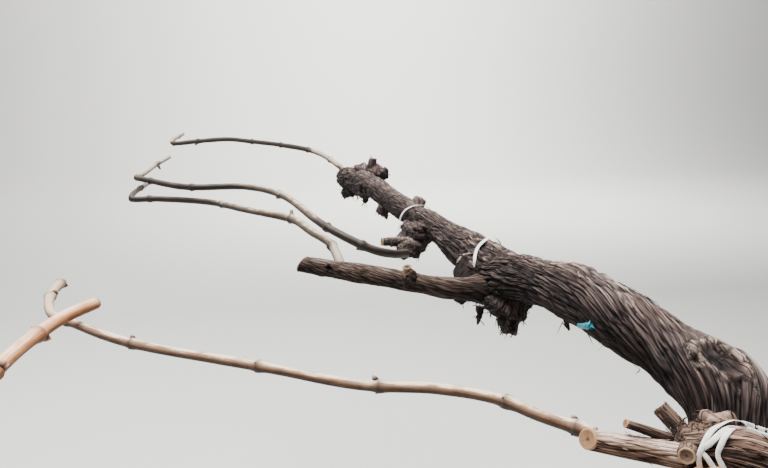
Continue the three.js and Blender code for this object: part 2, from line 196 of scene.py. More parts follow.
def strips(u, v, around, seed):
    """Long cells that bark splits into: depth from the edge, a number for each, and the place in it."""
    cell_u, cell_v = np.floor(u).astype(np.int64), np.floor(v).astype(np.int64)
    nearest = np.full(u.shape, 9.0)
    second = np.full(u.shape, 9.0)
    tone, lean, along = np.zeros(u.shape), np.zeros(u.shape), np.zeros(u.shape)
    for du in (-1, 0, 1):
        for dv in (-1, 0, 1):
            a, b = cell_u + du, cell_v + dv
            home = a % around
            centre_u = a + 0.15 + 0.7 * dealt(home, b, seed=seed)
            centre_v = b + 0.1 + 0.8 * dealt(home, b, seed=seed + 71)
            distance = np.hypot(u - centre_u, v - centre_v)
            closer = distance < nearest
            second = np.where(closer, nearest, np.minimum(second, distance))
            nearest = np.where(closer, distance, nearest)
            tone = np.where(closer, dealt(home, b, seed=seed + 143), tone)
            lean = np.where(closer, u - centre_u, lean)
            along = np.where(closer, v - centre_v, along)
    return second - nearest, tone, lean, along


def fibre_drift(turns, run, seed):
    """How far the fibres wander to the side of straight, in turns."""
    drift = 0.020 * swell(turns * 4, run / 150, seed=seed, around=4)
    return drift + 0.011 * swell(turns * 11, run / 46, seed=seed + 1, around=11)


def bark_relief(run, turns, girth, seed, strip=6.0, deep=0.0):
    """Height of the bark in mm, its ridge share and each strip's tone, by turns along the fibres."""
    wide = max(6, round(2 * math.pi * girth / strip))
    narrow = round(1.9 * wide)
    broad = max(5, round(0.45 * wide))
    wave = 0.35 * swell(turns * broad, run / (4 * strip), seed=seed + 8, around=broad)
    edge, tone, lean, along = strips(turns * wide + wave, run / (12 * strip), wide, seed + 3)
    small_edge, small_tone, small_lean, _ = strips(
        turns * narrow + 0.9 * wave, run / (8 * strip), narrow, seed + 4,
    )
    crack = np.exp(-(edge / 0.2) ** 2)
    small_crack = (0.3 + 0.9 * small_tone) * np.exp(-(small_edge / 0.3) ** 2)
    height = 1.5 * (tone - 0.5) + 2.4 * lean * (tone - 0.3) + 0.8 * along * tone
    height = height + 0.6 * (small_tone - 0.5) + 0.7 * small_lean * small_tone
    height = height + 1.0 * swell(turns * 7, run / 38, seed=seed + 6, around=7)
    height = height + 0.3 * swell(turns * 29, run / 6, seed=seed + 7, around=29)
    if np.ndim(deep):
        deep_edge, deep_tone, deep_lean, _ = strips(
            turns * broad + 1.3 * wave, run / (14 * strip), broad, seed + 5,
        )
        furrow = np.exp(-(deep_edge / 0.16) ** 2)
        height = height + deep * (2.0 * (deep_tone - 0.5) + 2.2 * deep_lean)
        crack = np.maximum(crack, 1.2 * deep * furrow)
    # Cracks lower the ridge share, so they are painted dark, partly as the shade in them.
    ridge = np.clip(0.76 + 0.12 * height - 0.6 * crack - 0.32 * small_crack, 0, 1)
    height = height - 2.9 * crack - 1.3 * small_crack
    return height * (0.5 + 0.1 * strip), ridge, 0.7 * tone + 0.3 * small_tone


def tube_faces(rings, around):
    """Four-sided faces, pointing out, between the rings of a tube."""
    ring = np.arange(rings - 1)[:, None] * around
    here = np.arange(around)[None, :]
    after = (here + 1) % around
    corners = [ring + here, ring + around + here, ring + around + after, ring + after]
    return np.stack(corners, -1).reshape(-1, 4)


def closed_tube(grid, paint=0, **marks):
    """A shell from rings of points (rings, around, 3), closed at both ends. Marks are kept at each point."""
    rings, around = grid.shape[:2]
    marks["paint"] = np.full((rings, around), paint)
    last = (rings - 1) * around
    here = np.arange(around)
    after = (here + 1) % around
    count = rings * around
    first_cap = np.stack([np.full(around, count), here, after], -1)
    last_cap = np.stack([np.full(around, count + 1), last + after, last + here], -1)
    shell = {
        "points": np.vstack([grid.reshape(-1, 3), grid[0].mean(0), grid[-1].mean(0)]),
        "quads": tube_faces(rings, around),
        "tris": np.vstack([first_cap, last_cap]),
    }
    for name, values in marks.items():
        flat = values.reshape(count, -1)
        ends = [values[row].reshape(around, -1).mean(0) for row in (0, -1)]
        shell[name] = np.vstack([flat, *ends])
    return shell


def together(shells):
    """Several shells as one."""
    whole = {}
    counts = np.cumsum([0] + [len(s["points"]) for s in shells])
    for key in shells[0]:
        if key in ("quads", "tris"):
            whole[key] = np.vstack([s[key] + start for s, start in zip(shells, counts)])
        else:
            whole[key] = np.vstack([s[key] for s in shells])
    return whole


def make_piece(name, shell, *materials):
    """A mesh in metres from a shell in mm. Its mark paint picks the material, the others are attributes."""
    quads, tris = shell["quads"], shell["tris"]
    mesh = bpy.data.meshes.new(name)
    mesh.vertices.add(len(shell["points"]))
    mesh.vertices.foreach_set("co", (shell["points"] / 1000).astype(np.float32).ravel())
    corners = np.concatenate([quads.ravel(), tris.ravel()]).astype(np.int32)
    mesh.loops.add(len(corners))
    mesh.loops.foreach_set("vertex_index", corners)
    starts = np.concatenate([np.arange(len(quads)) * 4, len(quads) * 4 + np.arange(len(tris)) * 3])
    mesh.polygons.add(len(starts))
    mesh.polygons.foreach_set("loop_start", starts.astype(np.int32))
    mesh.polygons.foreach_set("use_smooth", np.arange(len(starts)) < len(quads))
    for material in materials:
        mesh.materials.append(material)
    mesh.polygons.foreach_set("material_index", shell["paint"][corners[starts], 0].astype(np.int32))
    for key, values in shell.items():
        if key in ("points", "quads", "tris", "paint"):
            continue
        kind, field = ("FLOAT_VECTOR", "vector") if values.shape[1] == 3 else ("FLOAT", "value")
        mark = mesh.attributes.new(key, kind, "POINT")
        mark.data.foreach_set(field, values.astype(np.float32).ravel())
    mesh.update(calc_edges=True)
    mesh.validate()
    piece = bpy.data.objects.new(name, mesh)
    bpy.context.scene.collection.objects.link(piece)
    return piece


def grain_of(run, angle, girth):
    """Where a point would lie on the limb made straight, in metres, for patterns that follow the fibres."""
    place = np.stack([girth * np.cos(angle), girth * np.sin(angle), run + 0 * angle], -1)
    return place / 1000


def raised(centre, out, radius, knobs):
    """The radius grown over round knobs, each (middle, half sizes, softness), in mm."""
    for middle, halves, soft in knobs:
        start = (centre - np.array(middle, float)) / np.array(halves, float)
        ray = out / np.array(halves, float)
        a = np.sum(ray * ray, -1)
        b = np.sum(start * ray, -1)
        c = np.sum(start * start, -1) - 1
        inside = b * b - a * c
        far = (-b + np.sqrt(np.maximum(inside, 0))) / a
        near_miss = np.clip(inside / (0.5 * a), 0, 1)
        lift = np.maximum(far - radius, 0) * near_miss
        radius = radius + lift * lift / (lift + soft)
    return radius


def parted(line, run, angle, girth, eyes):
    """Bends the fibres aside where they pass an old knot hole."""
    for place, size, *_ in eyes:
        home_run, home_angle = line.nearest(np.array([place], float))
        aside = girth * ((angle - home_angle[0] + math.pi) % (2 * math.pi) - math.pi)
        near = np.exp(-(np.hypot(aside, (run - home_run[0]) / 1.3) / (1.9 * size)) ** 2)
        angle = angle + 0.55 * size * np.tanh(aside / (0.8 * size)) * near / girth
    return angle


def hollowed(line, run, angle, girth, relief, ridge, grain, eyes):
    """Sinks old knot holes into the bark, each (place, radius, depth, rim) in mm, with a broken crust."""
    for place, size, depth, rim in eyes:
        home_run, home_angle = line.nearest(np.array([place], float))
        aside = girth * ((angle - home_angle[0] + math.pi) % (2 * math.pi) - math.pi)
        ahead = run - home_run[0]
        away = np.hypot(aside, ahead / 1.1) * (1 + 0.3 * swell(aside / 6 + 40, ahead / 6 + 40, seed=5))
        turn = np.arctan2(ahead, aside)
        near = np.clip((1.9 * size - away) / 1.5, 0, 1)
        plates, plate_tone, lean, _ = strips(aside / 7 + 90, ahead / 9 + 90, 1000, 8)
        crumbs = 1.6 * (plate_tone - 0.4) + 1.4 * lean - 2.4 * np.exp(-(plates / 0.16) ** 2)
        crumbs = crumbs + 0.6 * swell(aside / 2 + 90, ahead / 2 + 90, seed=9)
        crust = np.exp(-((away / size - 1.4) / 0.45) ** 2)
        hole = np.exp(-(away / size) ** 4)
        relief = relief * (1 - 0.7 * near) + near * crumbs * (1 - 0.6 * hole) - depth * hole + rim * crust
        # The hole's floor is painted dark, as the shade in the hollow.
        ridge = ridge * (1 - near) + near * (0.66 + 0.17 * crumbs) - 0.75 * hole + 0.26 * crust
        curled = np.stack([aside + 3 * plate_tone, 3 * size + 0 * away, 4 * size * turn], -1) / 1000
        grain = grain + near[..., None] * (curled - grain)
    return relief, ridge, grain


def bulged(line, run, angle, bulges):
    """Broad swellings of the limb, each (place, length along, width in turns, height), in mm."""
    grown = 0
    for place, length, width, height in bulges:
        home_run, home_angle = line.nearest(np.array([place], float))
        aside = ((angle - home_angle[0] + math.pi) % (2 * math.pi) - math.pi) / (2 * math.pi)
        grown = grown + height * np.exp(-((run - home_run[0]) / length) ** 2 - (aside / width) ** 2)
    return grown


def barked_limb(
    line, start, end, spacing, around, shape, girth, seed, knobs=(), strip=6.0, spin=None, eyes=(), tear=1.0,
    bulges=(), deep=None,
):
    """A limb's barked skin, laid along the fibres. Shape gives the radius at (station, angle)."""
    length = line.run(end) - line.run(start)
    runs = line.run(start) + np.linspace(0, length, round(length / spacing) + 1)
    t = line.station(runs)[:, None]
    turns = np.linspace(0, 1, around, endpoint=False)[None, :] + 0 * t
    run = runs[:, None] + 0 * turns
    wound = spin(run) if spin else 0.0
    angle = 2 * math.pi * (turns - fibre_drift(turns, run, seed) - wound)
    angle = parted(line, run, angle, girth, eyes)
    _, across, up = [v[:, None, :] for v in line.frame(t[:, 0])]
    out = across * np.sin(angle)[..., None] + up * np.cos(angle)[..., None]
    centre = line.at(t[:, 0])[:, None, :]
    radius = raised(centre, out, shape(t, angle) + bulged(line, run, angle, bulges), knobs)
    relief, ridge, tone = bark_relief(run, turns, girth, seed, strip, deep(run) if deep else 0.0)
    grain = grain_of(run, 2 * math.pi * turns, girth)
    relief, ridge, grain = hollowed(line, run, angle, girth, relief * tear, ridge, grain, eyes)
    grid = centre + out * (radius + relief)[..., None]
    marks = {"grain": grain, "ridge": ridge, "tone": tone}
    return closed_tube(grid, weather=0.5 + 0.5 * out[..., 2], **marks)


def ribbons(spine, face, width, thick, **marks):
    """Flat strips along rows of points (count, steps, 3), facing along face, with pointed ends."""
    count, steps = spine.shape[:2]
    ahead = unit(np.gradient(spine, axis=1))
    aside = unit(np.cross(ahead, face))
    face = np.cross(aside, ahead)
    share = np.linspace(0, 1, steps)[None, :]
    half = 0.5 * width[:, None] * np.clip(np.minimum(share * 8 + 0.25, (1.03 - share) * 4), 0.1, 1)
    body = 0.5 * thick[:, None] * (1.1 - 0.6 * share)
    sides = ((1, 0), (0, 1), (-1, 0), (0, -1))
    corner = [spine + aside * (a * half)[..., None] + face * (b * body)[..., None] for a, b in sides]
    points = np.stack(corner, 2)
    one = tube_faces(steps, 4)
    ends = np.array([[0, 1, 2, 3], [4 * steps - 1, 4 * steps - 2, 4 * steps - 3, 4 * steps - 4]])
    quads = (np.vstack([one, ends])[None] + (np.arange(count) * 4 * steps)[:, None, None]).reshape(-1, 4)
    shell = {"points": points.reshape(-1, 3), "quads": quads, "tris": np.zeros((0, 3), int)}
    for name, values in marks.items():
        wide = np.broadcast_to(values[:, None, None], (count, steps, 4, *values.shape[1:]))
        shell[name] = np.array(wide).reshape(count * steps * 4, -1)
    return shell


def shredded(
    line, shape, first, last, count, seed, spin=None, lift=5.0, long=42.0, wide=2.6, hang=0.3, top=0.5,
    eyes=(),
):
    """Torn strips of bark that follow the fibres, with one end lifted off the limb or hanging from it."""
    rng = np.random.default_rng(seed)
    steps = 7
    start = first + (last - first) * rng.random(count)
    angle = 2 * math.pi * rng.random(count)
    _, across, up = line.frame(line.station(start))
    height = across[:, 2] * np.sin(angle) + up[:, 2] * np.cos(angle)
    kept = rng.random(count) < 0.45 + top * height
    for place, *_ in eyes:
        home_run, home_angle = line.nearest(np.array([place], float))
        kept = kept & ((np.abs(start - home_run[0]) > 45) | (np.cos(angle - home_angle[0]) < 0.4))
    start, angle = start[kept], angle[kept]
    count = len(start)
    reach = long * (0.25 + 0.75 * rng.random(count) ** 2) * np.where(rng.random(count) < 0.6, 1, -1)
    share = np.linspace(0, 1, steps)[None, :]
    run = np.clip(start[:, None] + reach[:, None] * share, first, last)
    turned_by = 2 * math.pi * (spin(run) - spin(start[:, None])) if spin else 0
    curl = (rng.random((count, 1)) - 0.5) * 0.24 * share ** 2
    around = angle[:, None] - turned_by + curl
    t = line.station(run)
    tangent, across, up = line.frame(t)
    out = across * np.sin(around)[..., None] + up * np.cos(around)[..., None]
    rise = lift * rng.random((count, 1)) ** 3
    away = shape(t, around) - 0.8 + 1.3 * rng.random((count, 1)) + rise * share ** 2
    spine = line.at(t) + out * away[..., None]
    droop = hang * np.abs(reach)[:, None] * rng.random((count, 1)) ** 3 * share ** 3
    spine[..., 2] -= droop * (1.0 - 0.7 * (out[..., 2] > 0.2))
    roll = (rng.random((count, 1)) - 0.5) * 1.6 * share
    face = out * np.cos(roll)[..., None] + np.cross(tangent, out) * np.sin(roll)[..., None]
    width = wide * (0.25 + 0.75 * rng.random(count) ** 1.5)
    thick = 0.35 + 0.35 * rng.random(count)
    weather = 0.5 + 0.5 * out[:, 0, 2]
    length = np.abs(reach)[:, None, None] * share[..., None] / 1000
    strand = rng.random((count, 1, 1))
    grain = np.concatenate([0 * length + strand, 0 * length, length + start[:, None, None] / 1000], -1)
    marks = {"ridge": 0.3 + 0.45 * rng.random(count), "tone": rng.random(count), "weather": weather}
    shell = ribbons(spine, face, width, thick, paint=np.zeros(count), **marks)
    shell["grain"] = np.repeat(grain.reshape(-1, 3), 4, axis=0)
    return shell


stem = CentreLine(STEM_STATIONS)
STEM_GIRTH = 36
ROOT_FLARE = 24
ROOT_FLARE_HEIGHT = 70
ARCH_TWIST = 0.0017             # turns of the bark's fibres for each mm of the arch, and of the trunk
TRUNK_TWIST = 0.0006
UNTWISTED_FROM = 1650           # how far along the stem the fibres run straight again


def stem_spin(run):
    """How far the bark's fibres have wound round the stem, in turns. The arch is wound, the cordon isn't."""
    whole = -ARCH_TWIST * 40 * np.logaddexp(0, (UNTWISTED_FROM - run) / 40)
    return whole + (ARCH_TWIST - TRUNK_TWIST) * 80 * np.logaddexp(0, (1250 - run) / 80)


def stem_radius(t, angle):
    """The stem's radius with its lobes, and its flare at the foot."""
    passed = np.clip((t - HEAD_END + 0.4) / 0.8, 0, 1)
    form = (1 - passed) * lobes(t, angle, 1, 0.06) + passed * lobes(t, angle, 4, 0.08)
    height = np.maximum(0, stem.at(t)[..., 2])
    flare = ROOT_FLARE * np.exp(-height / ROOT_FLARE_HEIGHT) * (1 + 0.35 * np.cos(5 * angle + 0.7))
    left = np.maximum(0, stem.run(stem.last) - stem.run(t))
    blunt = 0.84 + 0.16 * np.clip(left / 150, 0, 1)
    return stem.radius(t) * form * blunt + flare * (t < 3) + 0.4


STEM_BULGES = [
    ((-4, -88, 1380), 26, 0.16, 2),
    ((16, -106, 1370), 30, 0.15, 7),
    ((-60, 1095, 1319), 40, 0.12, 4),
]
STEM_KNOBS = [
    ((-8, 1300, 1336), (28, 62, 24), 4),
    ((-8, 742, 1350), (17, 34, 13), 3),
]
STEM_EYES = [
    ((-11, -78, 1380), 9.5, 8, 2.0),
    ((-24, -66, 1372), 3.0, 5, 0.3),
    ((-60, 1095, 1312), 15, 16, 2.5),
]


def stem_furrows(run):
    """How deep the broad furrows are along the stem: deepest in the head, shallow on the trunk."""
    head = np.exp(-((run - 1880) / 130) ** 2)
    far_end = np.clip((run - 2700) / 120, 0, 1)
    return 0.2 + 0.9 * head + 0.9 * far_end


def linear(code):
    """An sRGB hex colour as the linear colour a shader takes."""
    parts = [int(code[i:i + 2], 16) / 255 for i in (1, 3, 5)]
    return tuple(p / 12.92 if p <= 0.04045 else ((p + 0.055) / 1.055) ** 2.4 for p in parts) + (1.0,)


def add_node(tree, kind, settings=None, **inputs):
    """Adds a node. Settings are its own values, inputs are values or sockets by the input's name."""
    made = tree.nodes.new(kind)
    for key, value in (settings or {}).items():
        setattr(made, key, value)
    for key, value in inputs.items():
        socket = made.inputs[int(key[1:])] if key[0] == "_" else made.inputs[key.replace("_", " ")]
        if isinstance(value, bpy.types.NodeSocket):
            tree.links.new(value, socket)
        else:
            socket.default_value = value
    return made


def blank_material(name):
    """A new material with an empty node tree, and that tree."""
    material = bpy.data.materials.new(name)
    material.use_nodes = True
    material.node_tree.nodes.clear()
    return material, material.node_tree


def bark_material(name, crack, body, ridge, worn_and_lit, fibre_mm=1.1, bleach_and_top_light=0.75, rough=1.0):
    """Shredding bark: dark cracks, a fibrous body, paler ridges, and worn tips, bleached and painted paler
    still on upward faces as top light.
    """
    material, tree = blank_material(name)
    grain = add_node(tree, "ShaderNodeAttribute", {"attribute_name": "grain"}).outputs["Vector"]
    relief = add_node(tree, "ShaderNodeAttribute", {"attribute_name": "ridge"}).outputs["Fac"]
    tone = add_node(tree, "ShaderNodeAttribute", {"attribute_name": "tone"}).outputs["Fac"]
    weather = add_node(tree, "ShaderNodeAttribute", {"attribute_name": "weather"}).outputs["Fac"]
    # Faces that point up are painted paler, partly as bleaching and partly as painted top light; faces that
    # point down keep the darker stops, as painted shade.
    upward = add_node(tree, "ShaderNodeMath", {"operation": "POWER"}, _0=weather, _1=3.0).outputs[0]
    # A pattern's scale is 1000 over its size in mm. Real bark hairs are too fine to show, so the
    # fibres are drawn about 1 mm wide.
    drawn = add_node(tree, "ShaderNodeMapping", Vector=grain, Scale=(1, 1, 0.06)).outputs["Vector"]
    waver = add_node(tree, "ShaderNodeTexNoise", Vector=drawn, Scale=1000 / 12, Detail=2.0).outputs["Color"]
    drawn = add_node(
        tree, "ShaderNodeVectorMath", {"operation": "MULTIPLY_ADD"},
        _0=waver, _1=(0.005, 0.005, 0.0), _2=drawn,
    ).outputs["Vector"]
    fibre = add_node(
        tree, "ShaderNodeTexNoise", Vector=drawn, Scale=800 / fibre_mm, Detail=4.0, Roughness=0.65,
    ).outputs["Fac"]
    coarse = add_node(
        tree, "ShaderNodeTexNoise", Vector=drawn, Scale=1000 / 7, Detail=4.0, Roughness=0.6,
    ).outputs["Fac"]
    blotch = add_node(
        tree, "ShaderNodeTexNoise", Vector=grain, Scale=1000 / 40, Detail=4.0, Roughness=0.6,
    ).outputs["Fac"]
    split = add_node(
        tree, "ShaderNodeTexVoronoi", {"feature": "DISTANCE_TO_EDGE"}, Vector=drawn, Scale=1000 / 3.6,
    ).outputs["Distance"]
    # Thin clefts along the fibres are painted dark, partly as the shade in them, and bumped.
    cleft = add_node(tree, "ShaderNodeMapRange", _0=split, _1=0.0, _2=0.1).outputs[0]
    depth = relief
    shares = ((fibre, 0.42 * rough), (coarse, 0.45 * rough), (tone, 0.32 * rough), (cleft, 0.5 * rough))
    for value, share in (*shares, (upward, bleach_and_top_light)):
        depth = add_node(
            tree, "ShaderNodeMath", {"operation": "MULTIPLY_ADD"}, _0=value, _1=share, _2=depth,
        ).outputs[0]
    ramp = add_node(tree, "ShaderNodeValToRGB", Fac=add_node(
        tree, "ShaderNodeMapRange", _0=depth, _1=0.2 + 1.03 * rough, _2=1.0 + 1.03 * rough + bleach_and_top_light,
    ).outputs[0])
    stops = ramp.color_ramp.elements
    stops[0].color, stops[1].color = linear(crack), linear(worn_and_lit)
    for place, colour in ((0.36, body), (0.72, ridge)):
        stops.new(place).color = linear(colour)
    stain = add_node(tree, "ShaderNodeMapRange", _0=blotch, _1=0.45, _2=0.7, _4=0.55).outputs[0]
    tinted = add_node(
        tree, "ShaderNodeMix", {"data_type": "RGBA", "blend_type": "MULTIPLY"},
        _0=stain, _6=ramp.outputs["Color"], _7=linear("#b98f78"),
    )
    bump_height = add_node(
        tree, "ShaderNodeMath", {"operation": "MULTIPLY_ADD"}, _0=cleft, _1=0.7, _2=fibre,
    ).outputs[0]
    bumped = add_node(tree, "ShaderNodeBump", Strength=1.0, Distance=0.0014, Height=bump_height)
    shader = add_node(
        tree, "ShaderNodeBsdfPrincipled", Base_Color=tinted.outputs[2], Roughness=0.9,
        Normal=bumped.outputs[0], Specular_IOR_Level=0.25,
    )
    add_node(tree, "ShaderNodeOutputMaterial", Surface=shader.outputs[0])
    return material


# Old grapevine bark, weathered in the open: brown-black in the cracks, partly painted shade, and
# lavender-grey where the ridges wear, painted paler where they face up, as top light.
old_bark = bark_material("old_grapevine_bark", "#0a0706", "#2e2422", "#5b4d48", "#ab9c8e")


def stem_shell(start, end, spacing, around):
    """One stretch of the stem with its bark."""
    return barked_limb(
        stem, start, end, spacing, around, stem_radius, STEM_GIRTH, 10, STEM_KNOBS,
        spin=stem_spin, eyes=STEM_EYES, bulges=STEM_BULGES, deep=stem_furrows,
    )


# The trunk stands on a flat cut at its foot, where it flares into the roots.
# Its skin is one length of old bark, with long strips torn half off it, most of them at the fork.
TRUNK_RINGS, TRUNK_AROUND = 4.4, 204
TRUNK_SHREDS, FORK_SHREDS = 320, 150
trunk_shell = stem_shell(GROUND_STATION - 0.08, FORK, TRUNK_RINGS, TRUNK_AROUND)
trunk_shell["points"][:, 2] = np.maximum(trunk_shell["points"][:, 2], 0)
trunk_shreds = shredded(
    stem, stem_radius, 190, 1320, TRUNK_SHREDS, 31, stem_spin, lift=5, long=60, wide=3.4, top=0.1,
)
fork_run = stem.run(FORK)
fork_shreds = shredded(
    stem, stem_radius, fork_run - 45, fork_run + 45, FORK_SHREDS, 32, stem_spin, lift=3, long=60, wide=3.6,
)
trunk_bark = make_piece("trunk_bark", together([trunk_shell, trunk_shreds, fork_shreds]), old_bark)
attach(trunk_bark, "root")
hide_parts("trunk")

# The arch, where the trunk bends over into the level: the finest bark, in two lengths of one skin.
# Its upper side is ragged with torn strips and hair-like fibres; longer shreds hang below.
ARCH_JOIN = 9.4
ARCH_RINGS, ARCH_AROUND = 2.0, 340
ARCH_SHREDS, ARCH_HAIRS, FRINGE_SHREDS = 210, 90, 46
FRINGES = (1545, 1665), (1790, 1880)    # where the longer shreds hang, in mm along the stem
arch_lengths = []
for number, (start, end) in enumerate(((FORK, ARCH_JOIN), (ARCH_JOIN, HEAD_END))):
    first, last = stem.run(start), stem.run(end)
    loose = shredded(
        stem, stem_radius, first, last, ARCH_SHREDS, 41 + number, stem_spin,
        lift=4, long=28, wide=3.2, top=0.6, eyes=STEM_EYES,
    )
    hairs = shredded(
        stem, stem_radius, first, last, ARCH_HAIRS, 43 + number, stem_spin,
        lift=4, long=14, wide=0.9, hang=0.2, eyes=STEM_EYES,
    )
    fringe = shredded(
        stem, stem_radius, *FRINGES[number], FRINGE_SHREDS, 47 + number, stem_spin,
        lift=9, long=34, wide=4.2, hang=1.0, top=-0.5,
    )
    skin = stem_shell(start, end, ARCH_RINGS, ARCH_AROUND)
    whole = together([skin, loose, hairs, fringe])
    arch_lengths.append(make_piece("arch_bark_" + "ab"[number], whole, old_bark))
for length in arch_lengths:
    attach(length, "root")
    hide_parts("arch")

# The cordon runs on level to the end knob, with knobs where years of spurs were cut away.
# It is the same old bark as the arch's, lying straight along the wood in strips with loose ends.
CORDON_RINGS, CORDON_AROUND = 3.2, 216
CORDON_SHREDS = 420
cordon_shell = stem_shell(HEAD_END, stem.last, CORDON_RINGS, CORDON_AROUND)
cordon_shreds = shredded(
    stem, stem_radius, stem.run(HEAD_END), stem.run(stem.last) - 30, CORDON_SHREDS, 51,
    lift=4, long=26, wide=2.4, hang=0.4,
)
cordon_bark = make_piece("cordon_bark", together([cordon_shell, cordon_shreds]), old_bark)
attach(cordon_bark, "root")
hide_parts("cordon")

# The gnarled head under the arch's end: burls of old spur wood, torn spikes and a rotten clump that
# hangs down. Joined forms are skinned as one, then get a crust of broken bark.
def turned(profile, base, tip, around, wobble=0.0, seed=0, **marks):
    """A closed turned form, such as a stub or bud: rows of (share of the way to the tip, radius in mm)."""
    base, tip = np.array(base, float), np.array(tip, float)
    axis = unit(tip - base)
    helper = np.array([0.0, 0.0, 1.0]) if abs(axis[2]) < 0.8 else np.array([1.0, 0.0, 0.0])
    across = unit(np.cross(helper, axis))
    up = np.cross(axis, across)
    profile = np.array(profile, float)
    angle = np.linspace(0, 2 * math.pi, around, endpoint=False)[None, :]
    rough = 1 + wobble * swell(angle / (2 * math.pi) * 5, profile[:, :1] * 2 + 7, seed=seed, around=5)
    out = across * np.sin(angle)[..., None] + up * np.cos(angle)[..., None]
    grid = base + (tip - base) * profile[:, :1, None] + out * (profile[:, 1:] * rough)[..., None]
    size = np.broadcast_to(profile[:, 1:], rough.shape)
    far = np.broadcast_to(profile[:, :1], rough.shape) * np.linalg.norm(tip - base) + 31 * seed
    place = np.stack([size * np.sin(angle), size * np.cos(angle), far], -1) / 1000
    weather = 0.5 + 0.5 * out[..., 2] + 0 * size
    given = {"grain": place, "ridge": 0.6, "tone": 0.5, "weather": weather, "paint": 0}
    given.update(marks)
    paint = given.pop("paint")
    filled = {k: v if np.ndim(v) else np.full(rough.shape, float(v)) for k, v in given.items()}
    return closed_tube(grid, paint=paint, **filled)


def blob(middle, halves, seed):
    """A knotty swelling of old wood, by the same lumps as the solid one."""
    rows, around = 26, 36
    rise = np.linspace(0.02, math.pi - 0.02, rows)[:, None]
    turn = np.linspace(0, 2 * math.pi, around, endpoint=False)[None, :]
    u, v, w = np.sin(rise) * np.cos(turn), np.sin(rise) * np.sin(turn), np.cos(rise) + 0 * turn
    lump = 1 + 0.14 * np.sin(4 * u + seed) * np.cos(3 * v - seed) + 0.1 * np.sin(5 * w + 3 * u + 2 * seed)
    grid = np.array(middle, float) + np.stack([u, v, w], -1) * np.array(halves, float) * lump[..., None]
    return closed_tube(grid)


def remeshed(forms, voxel, rounds):
    """Overlapping closed forms skinned as one, softened: points and outward directions in mm, and faces."""
    bare = [{k: f[k] for k in ("points", "quads", "tris", "paint")} for f in forms]
    source = make_piece("forms", together(bare))
    skin = source.modifiers.new("skin", "REMESH")
    skin.mode = "VOXEL"
    skin.voxel_size = voxel / 1000
    soft = source.modifiers.new("soft", "SMOOTH")
    soft.factor = 0.5
    soft.iterations = rounds
    mesh = source.evaluated_get(bpy.context.evaluated_depsgraph_get()).to_mesh()
    points = np.empty(len(mesh.vertices) * 3, np.float32)
    normals = np.empty(len(mesh.vertices) * 3, np.float32)
    mesh.vertices.foreach_get("co", points)
    mesh.vertex_normals.foreach_get("vector", normals)
    faces = [list(face.vertices) for face in mesh.polygons]
    quads = np.array([f for f in faces if len(f) == 4], int).reshape(-1, 4)
    tris = np.array([f for f in faces if len(f) == 3], int).reshape(-1, 3)
    bpy.data.objects.remove(source)
    return points.reshape(-1, 3) * 1000.0, normals.reshape(-1, 3).astype(float), quads, tris


def knotted(forms, line, girth, seed, voxel=1.4, rounds=6, strip=6.0, crust=0.6, spin=None):
    """Joined forms with broken bark: part long strips along the line, part crumbling crust."""
    points, normals, quads, tris = remeshed(forms, voxel, rounds)
    x, y, z = points.T
    lumps = 2.2 * swell(x / 17, y / 17, z / 17, seed=seed) + 1.1 * swell(x / 8, y / 8, z / 8, seed=seed + 1)
    folds = 1.1 - 3.4 * np.abs(swell(x / 6.5, y / 6.5, z / 9, seed=seed + 2))
    folds = folds + 0.8 * swell(x / 3.1, y / 3.1, z / 3.1, seed=seed + 3)
    run, angle = line.nearest(points)
    turns = angle / (2 * math.pi) + (spin(run) if spin else 0.0)
    turns = turns + fibre_drift(turns, run, seed + 4)
    relief, ridge, tone = bark_relief(run, turns, girth, seed + 4, strip)
    height = lumps * crust + (1 - crust) * relief + crust * folds
    ridge = np.clip((1 - crust) * ridge + crust * (0.45 + 0.22 * folds), 0, 1)
    grain = (1 - crust) * grain_of(run, 2 * math.pi * turns, girth) + crust * points[:, [0, 2, 1]] / 1000
    return {
        "points": points + normals * height[:, None], "quads": quads, "tris": tris, "grain": grain,
        "ridge": ridge[:, None], "tone": tone[:, None], "weather": 0.5 + 0.5 * normals[:, 2:],
        "paint": np.zeros((len(points), 1)),
    }


def torn(shell, along, count, seed, long=16.0, wide=1.8, lift=5.0, hang=0.4, low=-1.0, high=1.0):
    """Loose shreds on a skin, between two heights of its outward direction, leaning along a direction."""
    rng = np.random.default_rng(seed)
    facing = 2 * shell["weather"][:, 0] - 1
    allowed = np.flatnonzero((facing > low) & (facing < high))
    place = rng.choice(allowed, count)
    start = shell["points"][place]
    middle = shell["points"].mean(0)
    out = unit(start - middle + 1e-6)
    lean = unit(np.array(along, float) + 0.5 * rng.normal(size=(count, 3)))
    lean = unit(lean - out * np.sum(lean * out, -1, keepdims=True))
    lean = lean * np.where(rng.random((count, 1)) < 0.5, 1, -1)
    share = np.linspace(0, 1, 6)[None, :, None]
    reach = long * (0.3 + 0.7 * rng.random((count, 1, 1)))
    rise = lift * rng.random((count, 1, 1)) ** 2
    spine = start[:, None] - out[:, None] * 0.8 + lean[:, None] * reach * share
    spine = spine + out[:, None] * rise * share ** 2
    spine[..., 2] -= (hang * reach * rng.random((count, 1, 1)) * share ** 2)[..., 0]
    roll = (rng.random((count, 1, 1)) - 0.5) * 2.0 * share
    face = out[:, None] * np.cos(roll) + np.cross(lean, out)[:, None] * np.sin(roll)
    ridge, tone = 0.3 + 0.45 * rng.random(count), rng.random(count)
    width, thick = wide * (0.3 + 0.7 * rng.random(count)), 0.4 + 0.3 * rng.random(count)
    weather = shell["weather"][place, 0]
    made = ribbons(spine, face, width, thick, paint=np.zeros(count), ridge=ridge, tone=tone, weather=weather)
    length = (reach * share)[..., 0] / 1000
    grain = np.stack([0 * length + rng.random((count, 1)), 0 * length, length], -1)
    made["grain"] = np.repeat(grain.reshape(-1, 3), 4, axis=0)
    return made


